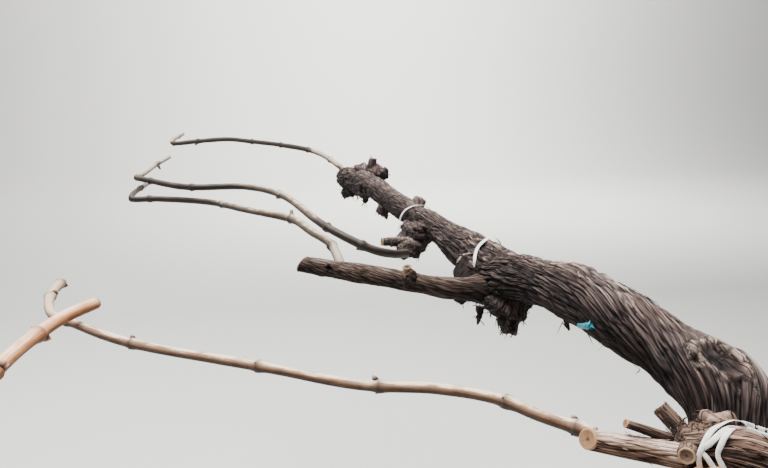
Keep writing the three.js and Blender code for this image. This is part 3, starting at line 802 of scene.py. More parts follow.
head_forms = [
    blob((-22, 292, 1290), (34, 58, 30), 2),
    blob((-30, 256, 1268), (17, 18, 24), 5),
    turned([(0, 16), (0.5, 14), (0.85, 12), (1, 8)], (-30, 252, 1262), (-33, 248, 1249), 16, 0.3, 1),
    turned([(0, 10), (0.6, 8), (1, 5)], (-20, 262, 1262), (-15, 263, 1250), 14, 0.3, 2),
    blob((-40, 345, 1308), (26, 42, 34), 3),
    blob((-76, 326, 1284), (15, 20, 14), 10),
    turned([(0, 9), (0.3, 7), (0.7, 4), (1, 1.5)], (-68, 274, 1288), (-75, 267, 1259), 12),
    turned([(0, 7), (0.4, 5), (0.8, 3), (1, 1.2)], (-24, 132, 1338), (-25, 117, 1313), 12),
]
head_shell = knotted(head_forms, stem, STEM_GIRTH, 60, 1.4, 2, 6.0, 0.35, stem_spin)
head_shreds = [
    torn(head_shell, (0, 0.2, -1), 240, 61, 15, 2.6, 3, 0.6, high=0.2),
    torn(head_shell, (0, 1, 0.2), 260, 62, 20, 1.8, 3, 0.2),
]
head_burls = make_piece("head_burls", together([head_shell, *head_shreds]), old_bark)
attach(head_burls, "root")
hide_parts("arch")

# Burls on the cordon: a rotten burr that hangs near its middle, and the gnarled end, where old spurs were
# sawn away: a short upright spur, a round dark knob beside it and a mass that hangs under the end.
def sawn_material(name, pith, wood, late, rim, grey, ring_mm=1.5, rim_from=0.98):
    """Sawn vine wood: a dark pith, faint yearly rings, a few radial checks and stains from weathering."""
    material, tree = blank_material(name)
    place = add_node(tree, "ShaderNodeAttribute", {"attribute_name": "grain"}).outputs["Vector"]
    share = add_node(tree, "ShaderNodeAttribute", {"attribute_name": "ridge"}).outputs["Fac"]
    parts = add_node(tree, "ShaderNodeSeparateXYZ", Vector=place)
    flat = add_node(tree, "ShaderNodeCombineXYZ", X=parts.outputs[0], Y=parts.outputs[1])
    from_pith = add_node(
        tree, "ShaderNodeVectorMath", {"operation": "LENGTH"}, _0=flat.outputs[0],
    ).outputs["Value"]
    uneven = add_node(
        tree, "ShaderNodeTexNoise", Vector=place, Scale=240.0, Detail=4.0, Roughness=0.6,
    ).outputs["Fac"]
    saw_marks = add_node(tree, "ShaderNodeMapping", Vector=place, Scale=(1, 0.12, 1)).outputs["Vector"]
    scratch = add_node(
        tree, "ShaderNodeTexNoise", Vector=saw_marks, Scale=1800.0, Detail=3.0, Roughness=0.7,
    ).outputs["Fac"]
    turn = add_node(
        tree, "ShaderNodeMath", {"operation": "MULTIPLY_ADD"}, _0=uneven, _1=0.003, _2=from_pith,
    ).outputs[0]
    ring = add_node(
        tree, "ShaderNodeMath", {"operation": "MULTIPLY"}, _0=turn, _1=2000 * math.pi / ring_mm,
    ).outputs[0]
    wave = add_node(tree, "ShaderNodeMath", {"operation": "SINE"}, _0=ring).outputs[0]
    angle = add_node(
        tree, "ShaderNodeMath", {"operation": "ARCTAN2"}, _0=parts.outputs[0], _1=parts.outputs[1],
    ).outputs[0]
    star = add_node(tree, "ShaderNodeMath", {"operation": "MULTIPLY"}, _0=angle, _1=1.5).outputs[0]
    star = add_node(
        tree, "ShaderNodeMath", {"operation": "MULTIPLY_ADD"}, _0=uneven, _1=1.6, _2=star,
    ).outputs[0]
    star = add_node(tree, "ShaderNodeMath", {"operation": "SINE"}, _0=star).outputs[0]
    star = add_node(tree, "ShaderNodeMath", {"operation": "ABSOLUTE"}, _0=star).outputs[0]
    check = add_node(tree, "ShaderNodeMapRange", _0=star, _1=0.03, _2=0.12, _3=0.75, _4=0.0).outputs[0]
    inside = add_node(tree, "ShaderNodeMapRange", _0=share, _1=0.6, _2=0.8, _3=1.0, _4=0.0).outputs[0]
    check = add_node(tree, "ShaderNodeMath", {"operation": "MULTIPLY"}, _0=check, _1=inside).outputs[0]
    banded = add_node(tree, "ShaderNodeMapRange", _0=wave, _1=-0.2, _2=1.0, _3=0.0, _4=0.3).outputs[0]
    rings = add_node(tree, "ShaderNodeMix", {"data_type": "RGBA"}, _0=banded)
    rings.inputs[6].default_value, rings.inputs[7].default_value = linear(wood), linear(late)
    stain = add_node(tree, "ShaderNodeMapRange", _0=uneven, _1=0.42, _2=0.7, _3=0.0, _4=0.8).outputs[0]
    blurred = add_node(
        tree, "ShaderNodeMath", {"operation": "MULTIPLY_ADD"}, _0=uneven, _1=0.3, _2=share,
    ).outputs[0]
    core = add_node(tree, "ShaderNodeMapRange", _0=blurred, _1=0.26, _2=0.42, _3=0.9, _4=0.0).outputs[0]
    edge = add_node(
        tree, "ShaderNodeMapRange", _0=blurred, _1=rim_from, _2=rim_from + 0.12, _3=0.0, _4=0.8,
    ).outputs[0]
    face = rings.outputs[2]
    for amount, colour in ((stain, grey), (check, pith), (core, pith), (edge, rim)):
        face = add_node(
            tree, "ShaderNodeMix", {"data_type": "RGBA"}, _0=amount, _6=face, _7=linear(colour),
        ).outputs[2]
    lift = add_node(
        tree, "ShaderNodeMath", {"operation": "MULTIPLY_ADD"}, _0=check, _1=-2.5, _2=scratch,
    ).outputs[0]
    bumped = add_node(tree, "ShaderNodeBump", Strength=0.5, Distance=0.0004, Height=lift)
    add_node(tree, "ShaderNodeOutputMaterial", Surface=add_node(
        tree, "ShaderNodeBsdfPrincipled", Base_Color=face, Roughness=0.8, Normal=bumped.outputs[0],
    ).outputs[0])
    return material


# Fresh cuts are tan with a brown pith. Old ones have greyed and checked in the rain.
fresh_cut = sawn_material("fresh_sawn_vine_wood", "#38230f", "#8f6a46", "#735234", "#a9845f", "#765637")
old_cut = sawn_material(
    "weathered_sawn_vine_wood", "#22160f", "#5b4434", "#453327", "#9b8262", "#6b5646", 2.0, 0.86,
)


def cut_face(centre, facing, radius, seed, dish=0.6, rim=0.5, around=40):
    """A sawn end: a thin disc, dished or raised at its rim, that closes a limb."""
    centre, facing = np.array(centre, float), unit(np.array(facing, float))
    low = 0.2
    top = low + dish
    rows = [(1, -1.5), (1.0, top - 0.3), (0.965, top + 0.7 * rim), (0.9, top + rim), (0.78, top)]
    rows += [(0.6, low + 0.6 * dish), (0.35, low + 0.25 * dish), (0.15, low + 0.05 * dish), (0.04, low)]
    profile = [(height, share * radius) for share, height in rows]
    share = np.array([s for s, _ in rows])[:, None] + np.zeros((1, around))
    return turned(profile, centre, centre + facing, around, 0.07, seed, ridge=share, paint=1)


burr_shell = knotted([
    blob((-41, 931, 1288), (16, 24, 15), 6),
    blob((-36, 944, 1280), (11, 13, 12), 3),
    turned([(0, 7), (0.6, 4), (1, 1)], (-36, 930, 1280), (-30, 922, 1262), 10),
], stem, STEM_GIRTH, 70, 1.6, 2, 6.0, 0.7)
end_shell = knotted([
    blob((8, 1195, 1342), (28, 38, 24), 1),
    blob((12, 1222, 1350), (16, 20, 22), 2),
    turned([(0, 19), (0.4, 16), (0.8, 13.2), (1, 12.2)], (-4, 1203, 1346), (1, 1212, 1383), 20, 0.14, 3),
    blob((27, 1172, 1344), (15, 15, 19), 4),
    blob((-12, 1306, 1334), (26, 56, 23), 13),
    blob((-36, 1352, 1272), (27, 46, 30), 5),
    blob((-48, 1300, 1284), (20, 26, 20), 7),
    turned([(0, 20), (0.5, 16), (0.8, 11), (1, 5)], (-46, 1362, 1258), (-54, 1372, 1230), 16, 0.3, 5),
    turned([(0, 15), (0.5, 11), (0.8, 8), (1, 4)], (-46, 1296, 1272), (-48, 1292, 1250), 16, 0.3, 8),
    blob((-46, 1134, 1292), (17, 34, 16), 11),
    turned([(0, 12), (0.6, 8), (1, 3)], (-44, 1122, 1284), (-46, 1114, 1266), 14, 0.3, 9),
], stem, STEM_GIRTH, 73, 1.9, 2, 7.0, 0.75)
cordon_burls = make_piece("cordon_burls", together([
    burr_shell,
    end_shell,
    torn(burr_shell, (0, 0, -1), 110, 71, 12, 2.0, 3, 0.7),
    torn(end_shell, (0, 1, 0), 180, 72, 22, 2.6, 4, 0.5),
    torn(end_shell, (0, 1, -0.3), 130, 74, 15, 3.4, 4, 0.4, -1.0, 0.1),
    cut_face((1, 1212.3, 1384), (5, 9, 37), 12.3, 81, 1.2, 0.5, 36),
    cut_face(stem.points[-1], stem.tangent(np.array([stem.last]))[0], 21.0, 82, 1.4, 0.6, 60),
]), old_bark, old_cut)
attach(cordon_burls, "root")
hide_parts("cordon")

# The spur head under the cordon: years of short pruned spurs grown into one knob, with a small cut stub.
# It is lumpy old wood under crumbling bark, and the stub's sawn end faces out to the canes' side.
spur_head_forms = [
    blob((-60, 612, 1302), (34, 40, 30), 9),
    blob((-84, 580, 1286), (24, 26, 20), 11),
    blob((-92, 572, 1281), (15, 17, 14), 4),
    blob((-36, 640, 1306), (26, 34, 26), 12),
    blob((-70, 636, 1318), (15, 16, 13), 5),
    blob((-58, 590, 1326), (13, 15, 11), 8),
    turned([(0, 10), (0.5, 8.6), (0.85, 7.8), (1, 8.2)], (-92, 586, 1300), (-136, 588, 1302), 16),
]
spur_head_shell = knotted(spur_head_forms, stem, STEM_GIRTH, 90, 1.6, 2, 6.0, 0.7)
spur_head = make_piece("spur_head_burl", together([
    spur_head_shell,
    torn(spur_head_shell, (0, 1, 0), 260, 91, 15, 1.8, 4, 0.5),
    cut_face((-136.4, 588, 1302), (-1, 0.05, 0.05), 8.0, 92, 1.2, 0.5),
]), old_bark, old_cut)
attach(spur_head, "root")
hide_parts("spur_head")

# The wide spur sawn flat on the side of the head: a dark weathered face under a pale lip of callus.
# The wood has grown a rounded lip over the cut's upper edge since it was sawn.
def planed(shell, centre, facing, seed):
    """Saws a skin off flat: what stands in front of the plane is brought back to it, as bare wood."""
    centre, facing = np.array(centre, float), unit(np.array(facing, float))
    in_front = (shell["points"] - centre) @ facing
    cut = (in_front > 0)[:, None]
    across = unit(np.cross([0.0, 0.0, 1.0], facing))
    up = np.cross(facing, across)
    flat = shell["points"] - in_front[:, None] * facing
    x, y = (flat - centre) @ across, (flat - centre) @ up
    dish = 1.6 * np.abs(swell(x / 7 + 50, y / 14 + 50, seed=seed))
    dish = dish + 0.8 * np.abs(swell(x / 2.2 + 50, y / 12 + 50, seed=seed))
    shell["points"] = np.where(cut, flat - dish[:, None] * facing, shell["points"])
    shell["grain"] = np.where(cut, np.stack([x, 0 * x + 31 * seed, y], -1) / 1000, shell["grain"])
    shell["ridge"] = np.where(cut, (0.62 - 0.2 * dish)[:, None], shell["ridge"])
    # The sawn face is painted lighter toward its top, as painted top light.
    shell["weather"] = np.where(cut, 0.45 + 0.014 * y[:, None], shell["weather"])
    return shell


cut_spur_line = CentreLine([
    [-20, 372, 1310, 27], [-38, 362, 1316, 27], [-58, 352, 1322, 25], [-80, 342, 1330, 22],
])
cut_spur_shell = planed(knotted([
    blob((-54, 348, 1318), (27, 33, 25), 6),
    blob((-46, 372, 1318), (22, 22, 24), 7),
    turned([(0, 8), (0.5, 6), (1, 3)], (-56, 366, 1330), (-70, 362, 1334), 12, 0.1, 8),
], cut_spur_line, 24, 100, 1.3, 1, 3.8, 0.3), (-66, 347, 1323), (-0.79, -0.3, 0.53), 101)
lip = CentreLine([
    [-72, 365, 1325, 1.0], [-66, 367, 1331.5, 2.6], [-60, 367, 1336, 3.4], [-53, 363, 1341, 2.6],
    [-49, 356, 1344, 1.2],
])
lip_shell = barked_limb(
    lip, 0, 4, 1.2, 26, lambda t, angle: lip.radius(t) + 0 * angle, 4, 102, strip=2.2, tear=0.6,
)
# The lip is painted paler: its callus is pale, and part of it is painted top light.
lip_shell["ridge"] = np.clip(lip_shell["ridge"] + 0.35, 0, 1)
lip_shell["weather"] = lip_shell["weather"] + 0.4
cut_spur = make_piece("cut_spur_wood", together([
    cut_spur_shell, lip_shell, torn(cut_spur_shell, (0, 0.3, -1), 60, 103, 9, 1.6, 2, 0.4),
]), old_bark)
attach(cut_spur, "root")
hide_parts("cut_spur")

# The old arm, sawn off on a slant: younger wood with tighter, redder bark than the stem's.
# It has a swollen node with a rotten socket near its end, and a cut ring spur on top.
ARM_STATIONS = [
    [-30, 300, 1302, 18],
    [-110, 317, 1303, 17],
    [-158, 345, 1306, 15.5],
    [-203, 382, 1306, 15.5],
    [-253, 430, 1303, 15.5],
    [-308, 481, 1300, 14.5],
]

# Younger bark on the arm: dull red-brown and tight, with short cracks and little bleaching.
arm_bark = bark_material(
    "younger_grapevine_arm_bark", "#130b07", "#382a22", "#65554b", "#8f7f74", 0.9, 0.75, 0.75,
)
arm = CentreLine(ARM_STATIONS)


def arm_radius(t, angle):
    """The old arm's radius with its lobes, flaring where it grows out of the head."""
    flare = 8 * np.exp(-(np.maximum(arm.run(t) - 20, 0) / 22) ** 2)
    return arm.radius(t) * lobes(t, angle, 3, 0.07) + flare


def arm_spin(run):
    """The old arm's fibres wind slowly round it."""
    return 0.0016 * run


def slanted(shell, end, along, facing, reach=20.0):
    """Shears the last stretch of a straight limb, so that its cut end faces another way."""
    along, facing = unit(np.array(along, float)), unit(np.array(facing, float))
    away = shell["points"] - np.array(end, float)
    behind = away @ along
    aside = away - behind[:, None] * along
    share = np.clip(1 + behind / reach, 0, 1) ** 1.5
    shell["points"] = shell["points"] - (share * (aside @ facing) / (along @ facing))[:, None] * along
    return shell


ARM_KNOBS = [((-279, 452, 1299), (16, 17, 15), 4), ((-160, 343, 1311), (15, 13, 11), 3)]
ARM_EYES = [((-271, 431, 1307), 4.2, 5, 1.2), ((-160, 341, 1316), 6, 1.5, 0.5)]
arm_shell = barked_limb(
    arm, 0, 5, 1.2, 90, arm_radius, 15, 110, ARM_KNOBS, strip=4.4, spin=arm_spin, eyes=ARM_EYES, tear=0.45,
)
# The bark is painted darker where the arm leaves the head, as the shade at the join.
arm_shell["ridge"] = arm_shell["ridge"] - 0.5 * np.exp(-(1000 * arm_shell["grain"][:, 2:] / 55) ** 2)
arm_tip = arm.at(np.array([5.0]))[0]
arm_end = arm.tangent(np.array([5.0]))[0]
arm_cut = arm_end + np.array([0, 0, 0.55])
RING_PROFILE = [
    (0, 9), (0.4, 7.5), (0.7, 6.6), (0.9, 7.6), (1.0, 7.8), (1.03, 6.4), (0.96, 4.8), (0.7, 3.9),
    (0.66, 0.6),
]
RING_SHARES = [1.1, 1.2, 1.3, 1.4, 1.4, 1.4, 0.9, 0.1, 0.0]     # from bark outside to pith inside
ring_spur = turned(
    RING_PROFILE, (-161, 344, 1315), (-165, 342, 1333), 28, 0.16, 4, paint=1,
    ridge=np.array(RING_SHARES)[:, None] + np.zeros((1, 28)),
)
spur_burl = knotted([
    blob((-163, 334, 1314), (12, 10, 15), 4),
    blob((-158, 340, 1319), (10, 10, 8), 6),
], arm, 15, 113, 1.1, 1, 3.6, 0.7)
old_arm = make_piece("old_arm_wood", together([
    slanted(arm_shell, arm_tip, arm_end, arm_cut),
    shredded(arm, arm_radius, 40, arm.runs[-1] - 12, 160, 111, arm_spin, 3, 24, 1.6, 0.3, 0.2),
    ring_spur,
    spur_burl,
    torn(spur_burl, (0.3, 0.3, -1), 50, 114, 10, 1.8, 3, 0.6, -0.8, 0.5),
    slanted(cut_face(arm_tip + 0.4 * arm_end, arm_end, 14.4, 112, 0.5, 0.2, 48), arm_tip, arm_end, arm_cut),
]), arm_bark, old_cut)
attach(old_arm, "root")
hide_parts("old_arm")

# The near arm: a short second arm at the fork that ends in a knob of pruned spurs.
# Its bark is fibrous and brown. Loose curled fibres nest where the stubs leave the knob.
NEAR_ARM_STATIONS = [
    [8, -120, 1258, 26],
    [4, -168, 1291, 26],
    [-24, -161, 1320, 24],
    [-62, -142, 1333, 19],
    [-92, -131, 1334, 13],
]
near_arm_line = CentreLine(NEAR_ARM_STATIONS)

# The near arm's bark: browner and more fibrous than the stem's, pale on its torn ridges.
near_bark = bark_material("near_arm_bark", "#120b08", "#43332a", "#7d6557", "#b29a8b", 0.9)


def near_arm_radius(t, angle):
    """The near arm's radius with its lobes."""
    return near_arm_line.radius(t) * lobes(t, angle, 6, 0.07)


near_arm_shell = barked_limb(
    near_arm_line, 0, 4, 1.4, 124, near_arm_radius, 22, 120, strip=4.6, tear=0.85,
)
near_knob = knotted([
    blob((-46, -120, 1339), (19, 14, 15), 3),
    blob((-84, -129, 1334), (14, 13, 14), 5),
    blob((-66, -126, 1338), (12, 12, 10), 6),
], near_arm_line, 18, 121, 1.1, 2, 3.6, 0.25)
rng = np.random.default_rng(77)
CURLS = 26
sweep = np.linspace(0, 1, 9)[None, :, None] * (2.2 + 3.0 * rng.random((CURLS, 1, 1)))
curl_size = 2.5 + 5.0 * rng.random((CURLS, 1, 1))
first_way, second_way = unit(rng.normal(size=(CURLS, 1, 3))), unit(rng.normal(size=(CURLS, 1, 3)))
nest = np.array([-78, -124, 1346.0]) + rng.normal(size=(CURLS, 1, 3)) * np.array([8, 6, 3.5])
nest = nest + curl_size * (first_way * np.cos(sweep) + second_way * np.sin(sweep))
curls = ribbons(
    nest, np.broadcast_to(unit(np.cross(first_way, second_way)), nest.shape),
    0.7 + 0.9 * rng.random(CURLS), np.full(CURLS, 0.4), paint=np.zeros(CURLS),
    ridge=0.3 + 0.5 * rng.random(CURLS), tone=rng.random(CURLS), weather=np.full(CURLS, 0.5),
    grain=rng.random((CURLS, 3)),
)
near_arm = make_piece("near_arm_wood", together([
    near_arm_shell,
    near_knob,
    curls,
    shredded(near_arm_line, near_arm_radius, 20, 150, 200, 122, None, 3, 20, 1.8, 0.3, 0.3),
    torn(near_knob, (-1, 0.5, 0), 260, 123, 9, 1.8, 2, 0.2),
]), near_bark)
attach(near_arm, "root")
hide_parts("near_arm")

# The near spur: two-year wood, pinkish tan, with peeling strips and a clean slanting saw cut.
# It grows out of the near arm's knob and carries the near cane.
def spur_radius(line, swell_at_end=2.0):
    """A short limb's radius, thickened in a ring of callus at its cut end."""
    def shape(t, angle):
        left = line.runs[-1] - line.run(t)
        callus = swell_at_end * np.exp(-(left / 3.5) ** 2)
        return line.radius(t) * (1 + 0.05 * np.cos(3 * angle + 1)) + callus
    return shape


near_spur_line = CentreLine([
    [-88, -136, 1331, 10.4], [-110, -123, 1331.4, 9.8], [-132, -111, 1331.8, 9.3], [-153, -99, 1332, 8.2],
])

# Two-year bark: thin and dull, pinkish tan, nearly white on the ridges: bleached, and painted paler where
# they face up, as top light.
spur_bark = bark_material("two_year_vine_bark", "#24160d", "#8d7260", "#dac1b0", "#f6e4d6", 0.8, 0.9, 0.5)
near_spur_shell = barked_limb(
    near_spur_line, 0, 3, 1.2, 96, spur_radius(near_spur_line, 0.2), 9.6, 130, strip=3.2, tear=0.26,
)
SPUR_END, SPUR_WAY, SPUR_CUT = (-153, -99, 1332), (-65, 37, 1), (-0.95, 0.01, 0.31)
near_spur = make_piece("near_spur_wood", together([
    slanted(near_spur_shell, SPUR_END, SPUR_WAY, SPUR_CUT),
    shredded(near_spur_line, spur_radius(near_spur_line, 0.4), 4, 60, 90, 131, None, 2, 18, 1.6, 0.2, 0.3),
    slanted(cut_face(SPUR_END, SPUR_WAY, 8.2, 132, 0.7, 0.25, 48), SPUR_END, SPUR_WAY, SPUR_CUT),
]), spur_bark, fresh_cut)
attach(near_spur, "root")
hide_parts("near_spur")

# Three short cut stubs on the near arm's knob: a frayed grey one, a thin dark one and one sawn face on.
# Each is the foot of a side shoot that was cut away. The frayed one has split into loose fibres.
fan_profile = [(0, 7.6), (0.2, 7.0), (0.5, 6.4), (0.8, 6.6), (0.93, 6.9), (1.0, 5.6)]
fan_shell = turned(fan_profile, (-76, -120, 1336), (-86, -98, 1352), 40, 0.22, 5)
FRAYS = 46
fray_turn = 2 * math.pi * rng.random((FRAYS, 1))
fray_way = unit(np.array([-10, 22, 15.0]))
fray_side = unit(np.cross(fray_way, [0, 0, 1.0]))
fray_up = np.cross(fray_side, fray_way)
fray_out = fray_side * np.cos(fray_turn) + fray_up * np.sin(fray_turn)
fray_far = np.linspace(0, 1, 7)[None, :, None]
fray_from = 27 * rng.random((FRAYS, 1, 1)) ** 0.5
fray_away = 6.3 + 0.7 * rng.random((FRAYS, 1, 1)) + 2.5 * rng.random((FRAYS, 1, 1)) ** 3 * fray_far ** 2
fray_reach = 2 + 4 * rng.random((FRAYS, 1, 1))
frays = np.array([-76, -120, 1336.0]) + fray_way * (fray_from + fray_reach * fray_far)
frays = frays + fray_out[:, None] * fray_away
fan_frays = ribbons(
    frays, np.broadcast_to(fray_out[:, None], frays.shape), 1.0 + 1.6 * rng.random(FRAYS),
    np.full(FRAYS, 0.5), paint=np.zeros(FRAYS), ridge=0.4 + 0.5 * rng.random(FRAYS), tone=rng.random(FRAYS),
    weather=np.full(FRAYS, 0.7), grain=rng.random((FRAYS, 3)),
)
fan_stub = make_piece("fan_stub_wood", together([fan_shell, fan_frays]), near_bark)
thin_profile = [(0, 4.6), (0.25, 4.1), (0.5, 3.9), (0.75, 3.6), (1, 3.5)]
thin_stub = make_piece("thin_stub_wood", together([
    turned(thin_profile, (-95, -122, 1339), (-129, -110, 1350), 28, 0.12, 6, ridge=0.45),
    cut_face((-129.2, -110, 1350), (-34, 12, 11), 3.5, 140, 0.3, 0.2, 28),
]), near_bark, fresh_cut)
face_profile = [(0, 9), (0.4, 7.8), (0.75, 6.8), (0.92, 6.4), (1, 6.0)]
face_stub = make_piece("face_stub_wood", together([
    turned(face_profile, (-84, -131, 1334), (-101, -144, 1341), 40, 0.1, 7),
    cut_face((-101.2, -144.2, 1341), (-17, -13, 7), 6.0, 141, 1.2, 0.4, 40),
]), near_bark, old_cut)
for stub, node in ((fan_stub, "fan_stub"), (thin_stub, "thin_stub"), (face_stub, "face_stub")):
    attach(stub, "root")
    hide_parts(node)


# The canes: last year's wood, smooth and ribbed lengthwise, thickened at each joint, where a bud or a
# cut side twig stands. The rule that places them is the CAD source's own, carried finer here.
JOINT_SWELL = 0.3
BUD_LENGTH = 5
SIDE_TWIG_LENGTH = 9
SIDE_TWIG_SHARE = 0.2


def seeded_random(seed):
    """The source's small repeatable random numbers from 0 to 1."""
    state = seed
    while True:
        state = (state * 1664525 + 1013904223) % 2**32
        yield state / 2**32


def cane_shell(stations, joints, seed, around=20, aged=(), dark=(), stout=1.15):
    """A cane with its joints, buds, scars and cut twigs. Aged stretches (from, to) are pale; dark stretches
    are painted shade.
    """
    line = CentreLine(stations, side=(0, 0, 1))
    line.radii = line.radii * stout
    random = seeded_random(seed)
    step = 0.005
    t = np.arange(1, round((line.last - 2 * step) / step)) * step
    walked = np.cumsum(np.linalg.norm(line.at(t) - line.at(t - step), axis=1))
    places = np.array([t[np.argmax(walked > joint)] for joint in joints])
    nodes = line.run(places)
    length = line.runs[-1]
    near_joint = (nodes[:, None] + np.array([-7, -5, -3.5, -2.2, -1, 0, 1, 2.2, 3.5, 5, 7])).ravel()
    runs = np.concatenate([np.linspace(0, length, round(length / 3.2)), near_joint])
    runs = np.unique(np.round(runs[(runs >= 0) & (runs <= length)], 1))
    t = line.station(runs)[:, None]
    angle = np.linspace(0, 2 * math.pi, around, endpoint=False)[None, :] + 0 * t
    _, across, up = [v[:, None, :] for v in line.frame(t[:, 0])]
    out = across * np.sin(angle)[..., None] + up * np.cos(angle)[..., None]
    gaps = runs[:, None] - nodes[None, :]
    gap = gaps[np.arange(len(runs)), np.abs(gaps).argmin(1)][:, None]
    bulge = np.exp(-np.where(gap < 0, gap / 6.5, gap / 4.5) ** 2) - 0.25 * np.exp(-((gap - 2.6) / 1.0) ** 2)
    turns = angle / (2 * math.pi)
    ribs = 0.22 * swell(turns * 7, runs[:, None] / 120, seed=seed, around=7)
    uneven = 0.05 * swell(turns * 2, runs[:, None] / 35, seed=seed + 1, around=2)
    radius = line.radius(t) * (1 + JOINT_SWELL * bulge) * lobes(t, angle, 0, 0.02) * (1 + uneven) + ribs
    grid = line.at(t[:, 0])[:, None, :] + out * radius[..., None]
    closeness = np.exp(-np.abs(gap) / 7) + 0 * angle
    age = np.zeros(len(runs))
    for first, last in aged:
        age = np.maximum(age, 1 / (1 + np.exp((first - runs) / 4)) / (1 + np.exp((runs - last) / 4)))
    # Dark stretches are painted shade: they darken the cane as if it lay in shadow.
    painted_shade = np.zeros(len(runs))
    for first, last in dark:
        painted_shade = np.maximum(painted_shade, 1 / (1 + np.exp((first - runs) / 6)) / (1 + np.exp((runs - last) / 6)))
    thickness = float(line.radii.mean())
    parts = [closed_tube(
        grid, grain=grain_of(runs[:, None], angle, thickness), ridge=closeness,
        tone=age[:, None] + 0 * angle, weather=0.5 + 0.5 * out[..., 2] - 0.4 * painted_shade[:, None], bud=0 * angle,
    )]
    for i, place in enumerate(places):
        here = np.array([place])
        tangent, across, up = [v[0] for v in line.frame(here)]
        turn = (1 if i % 2 else -1) * (0.5 + 0.5 * next(random)) + (0 if i % 2 else math.pi)
        way = across * math.cos(turn) + up * math.sin(turn)
        thick = float(line.radius(here)[0])
        twig = next(random) < SIDE_TWIG_SHARE
        reach = thick + (SIDE_TWIG_LENGTH if twig else BUD_LENGTH) * (0.8 + 0.4 * next(random))
        middle = line.at(here)[0]
        tip = middle + way * reach + tangent * 0.6 * reach
        root = middle + way * 0.3 * thick
        if twig:
            rows = ((0, 0.8), (0.45, 0.62), (0.6, 0.5), (0.85, 0.45), (1, 0.42))
            profile = [(far, share * thick) for far, share in rows]
            parts.append(turned(profile, root, tip, 16, 0.08, seed + i, ridge=0.5, tone=0, bud=0))
            sawn = tip + 0.2 * (tip - root) / reach
            parts.append(cut_face(sawn, tip - root, 0.42 * thick, seed + i, 0.3, 0.1, 16))
        else:
            for lean, size in ((0.0, 1.0), (0.9, 0.62)):
                side = np.cross(tangent, way) * lean * 0.5 * thick
                profile = [(0, 0.6), (0.35, 0.62), (0.55, 0.58), (0.72, 0.45), (0.88, 0.24), (1, 0.03)]
                scaled = [(far, share * thick * size) for far, share in profile]
                end = root + (tip - root) * (0.7 + 0.3 * size) + side * 1.3
                rows = np.array([far for far, _ in profile])[:, None] + np.zeros((1, 14))
                parts.append(turned(scaled, root + side, end, 14, 0.14, seed + i, ridge=1, tone=0, bud=rows))
        scar = middle - tangent * 2.6 + way * 0.93 * thick
        scar_rows = [(0, 0.44 * thick), (0.6, 0.42 * thick), (1, 0.2 * thick)]
        parts.append(turned(scar_rows, scar, scar + way * 1.1, 12, 0.1, seed + i, ridge=1, tone=0, bud=0.2))
        back = middle - way * 0.8 * thick + tangent * 1.5
        back_tip = back - way * 0.55 * thick
        back_rows = [(0, 0.3 * thick), (0.7, 0.22 * thick), (1, 0.17 * thick)]
        parts.append(turned(back_rows, back, back_tip, 10, 0.2, seed + i, ridge=1, tone=0, bud=0.1))
    last = np.array([line.last])
    end_way = line.tangent(last)[0]
    end_radius = float(line.radius(last)[0]) * 0.98
    parts.append(cut_face(line.at(last)[0] + 0.2 * end_way, end_way, end_radius, seed, 0.3, 0.15, 24))
    for part in parts:
        if np.ndim(part.get("bud")) == 0:
            part["bud"] = np.zeros((len(part["points"]), 1))
    return together(parts)


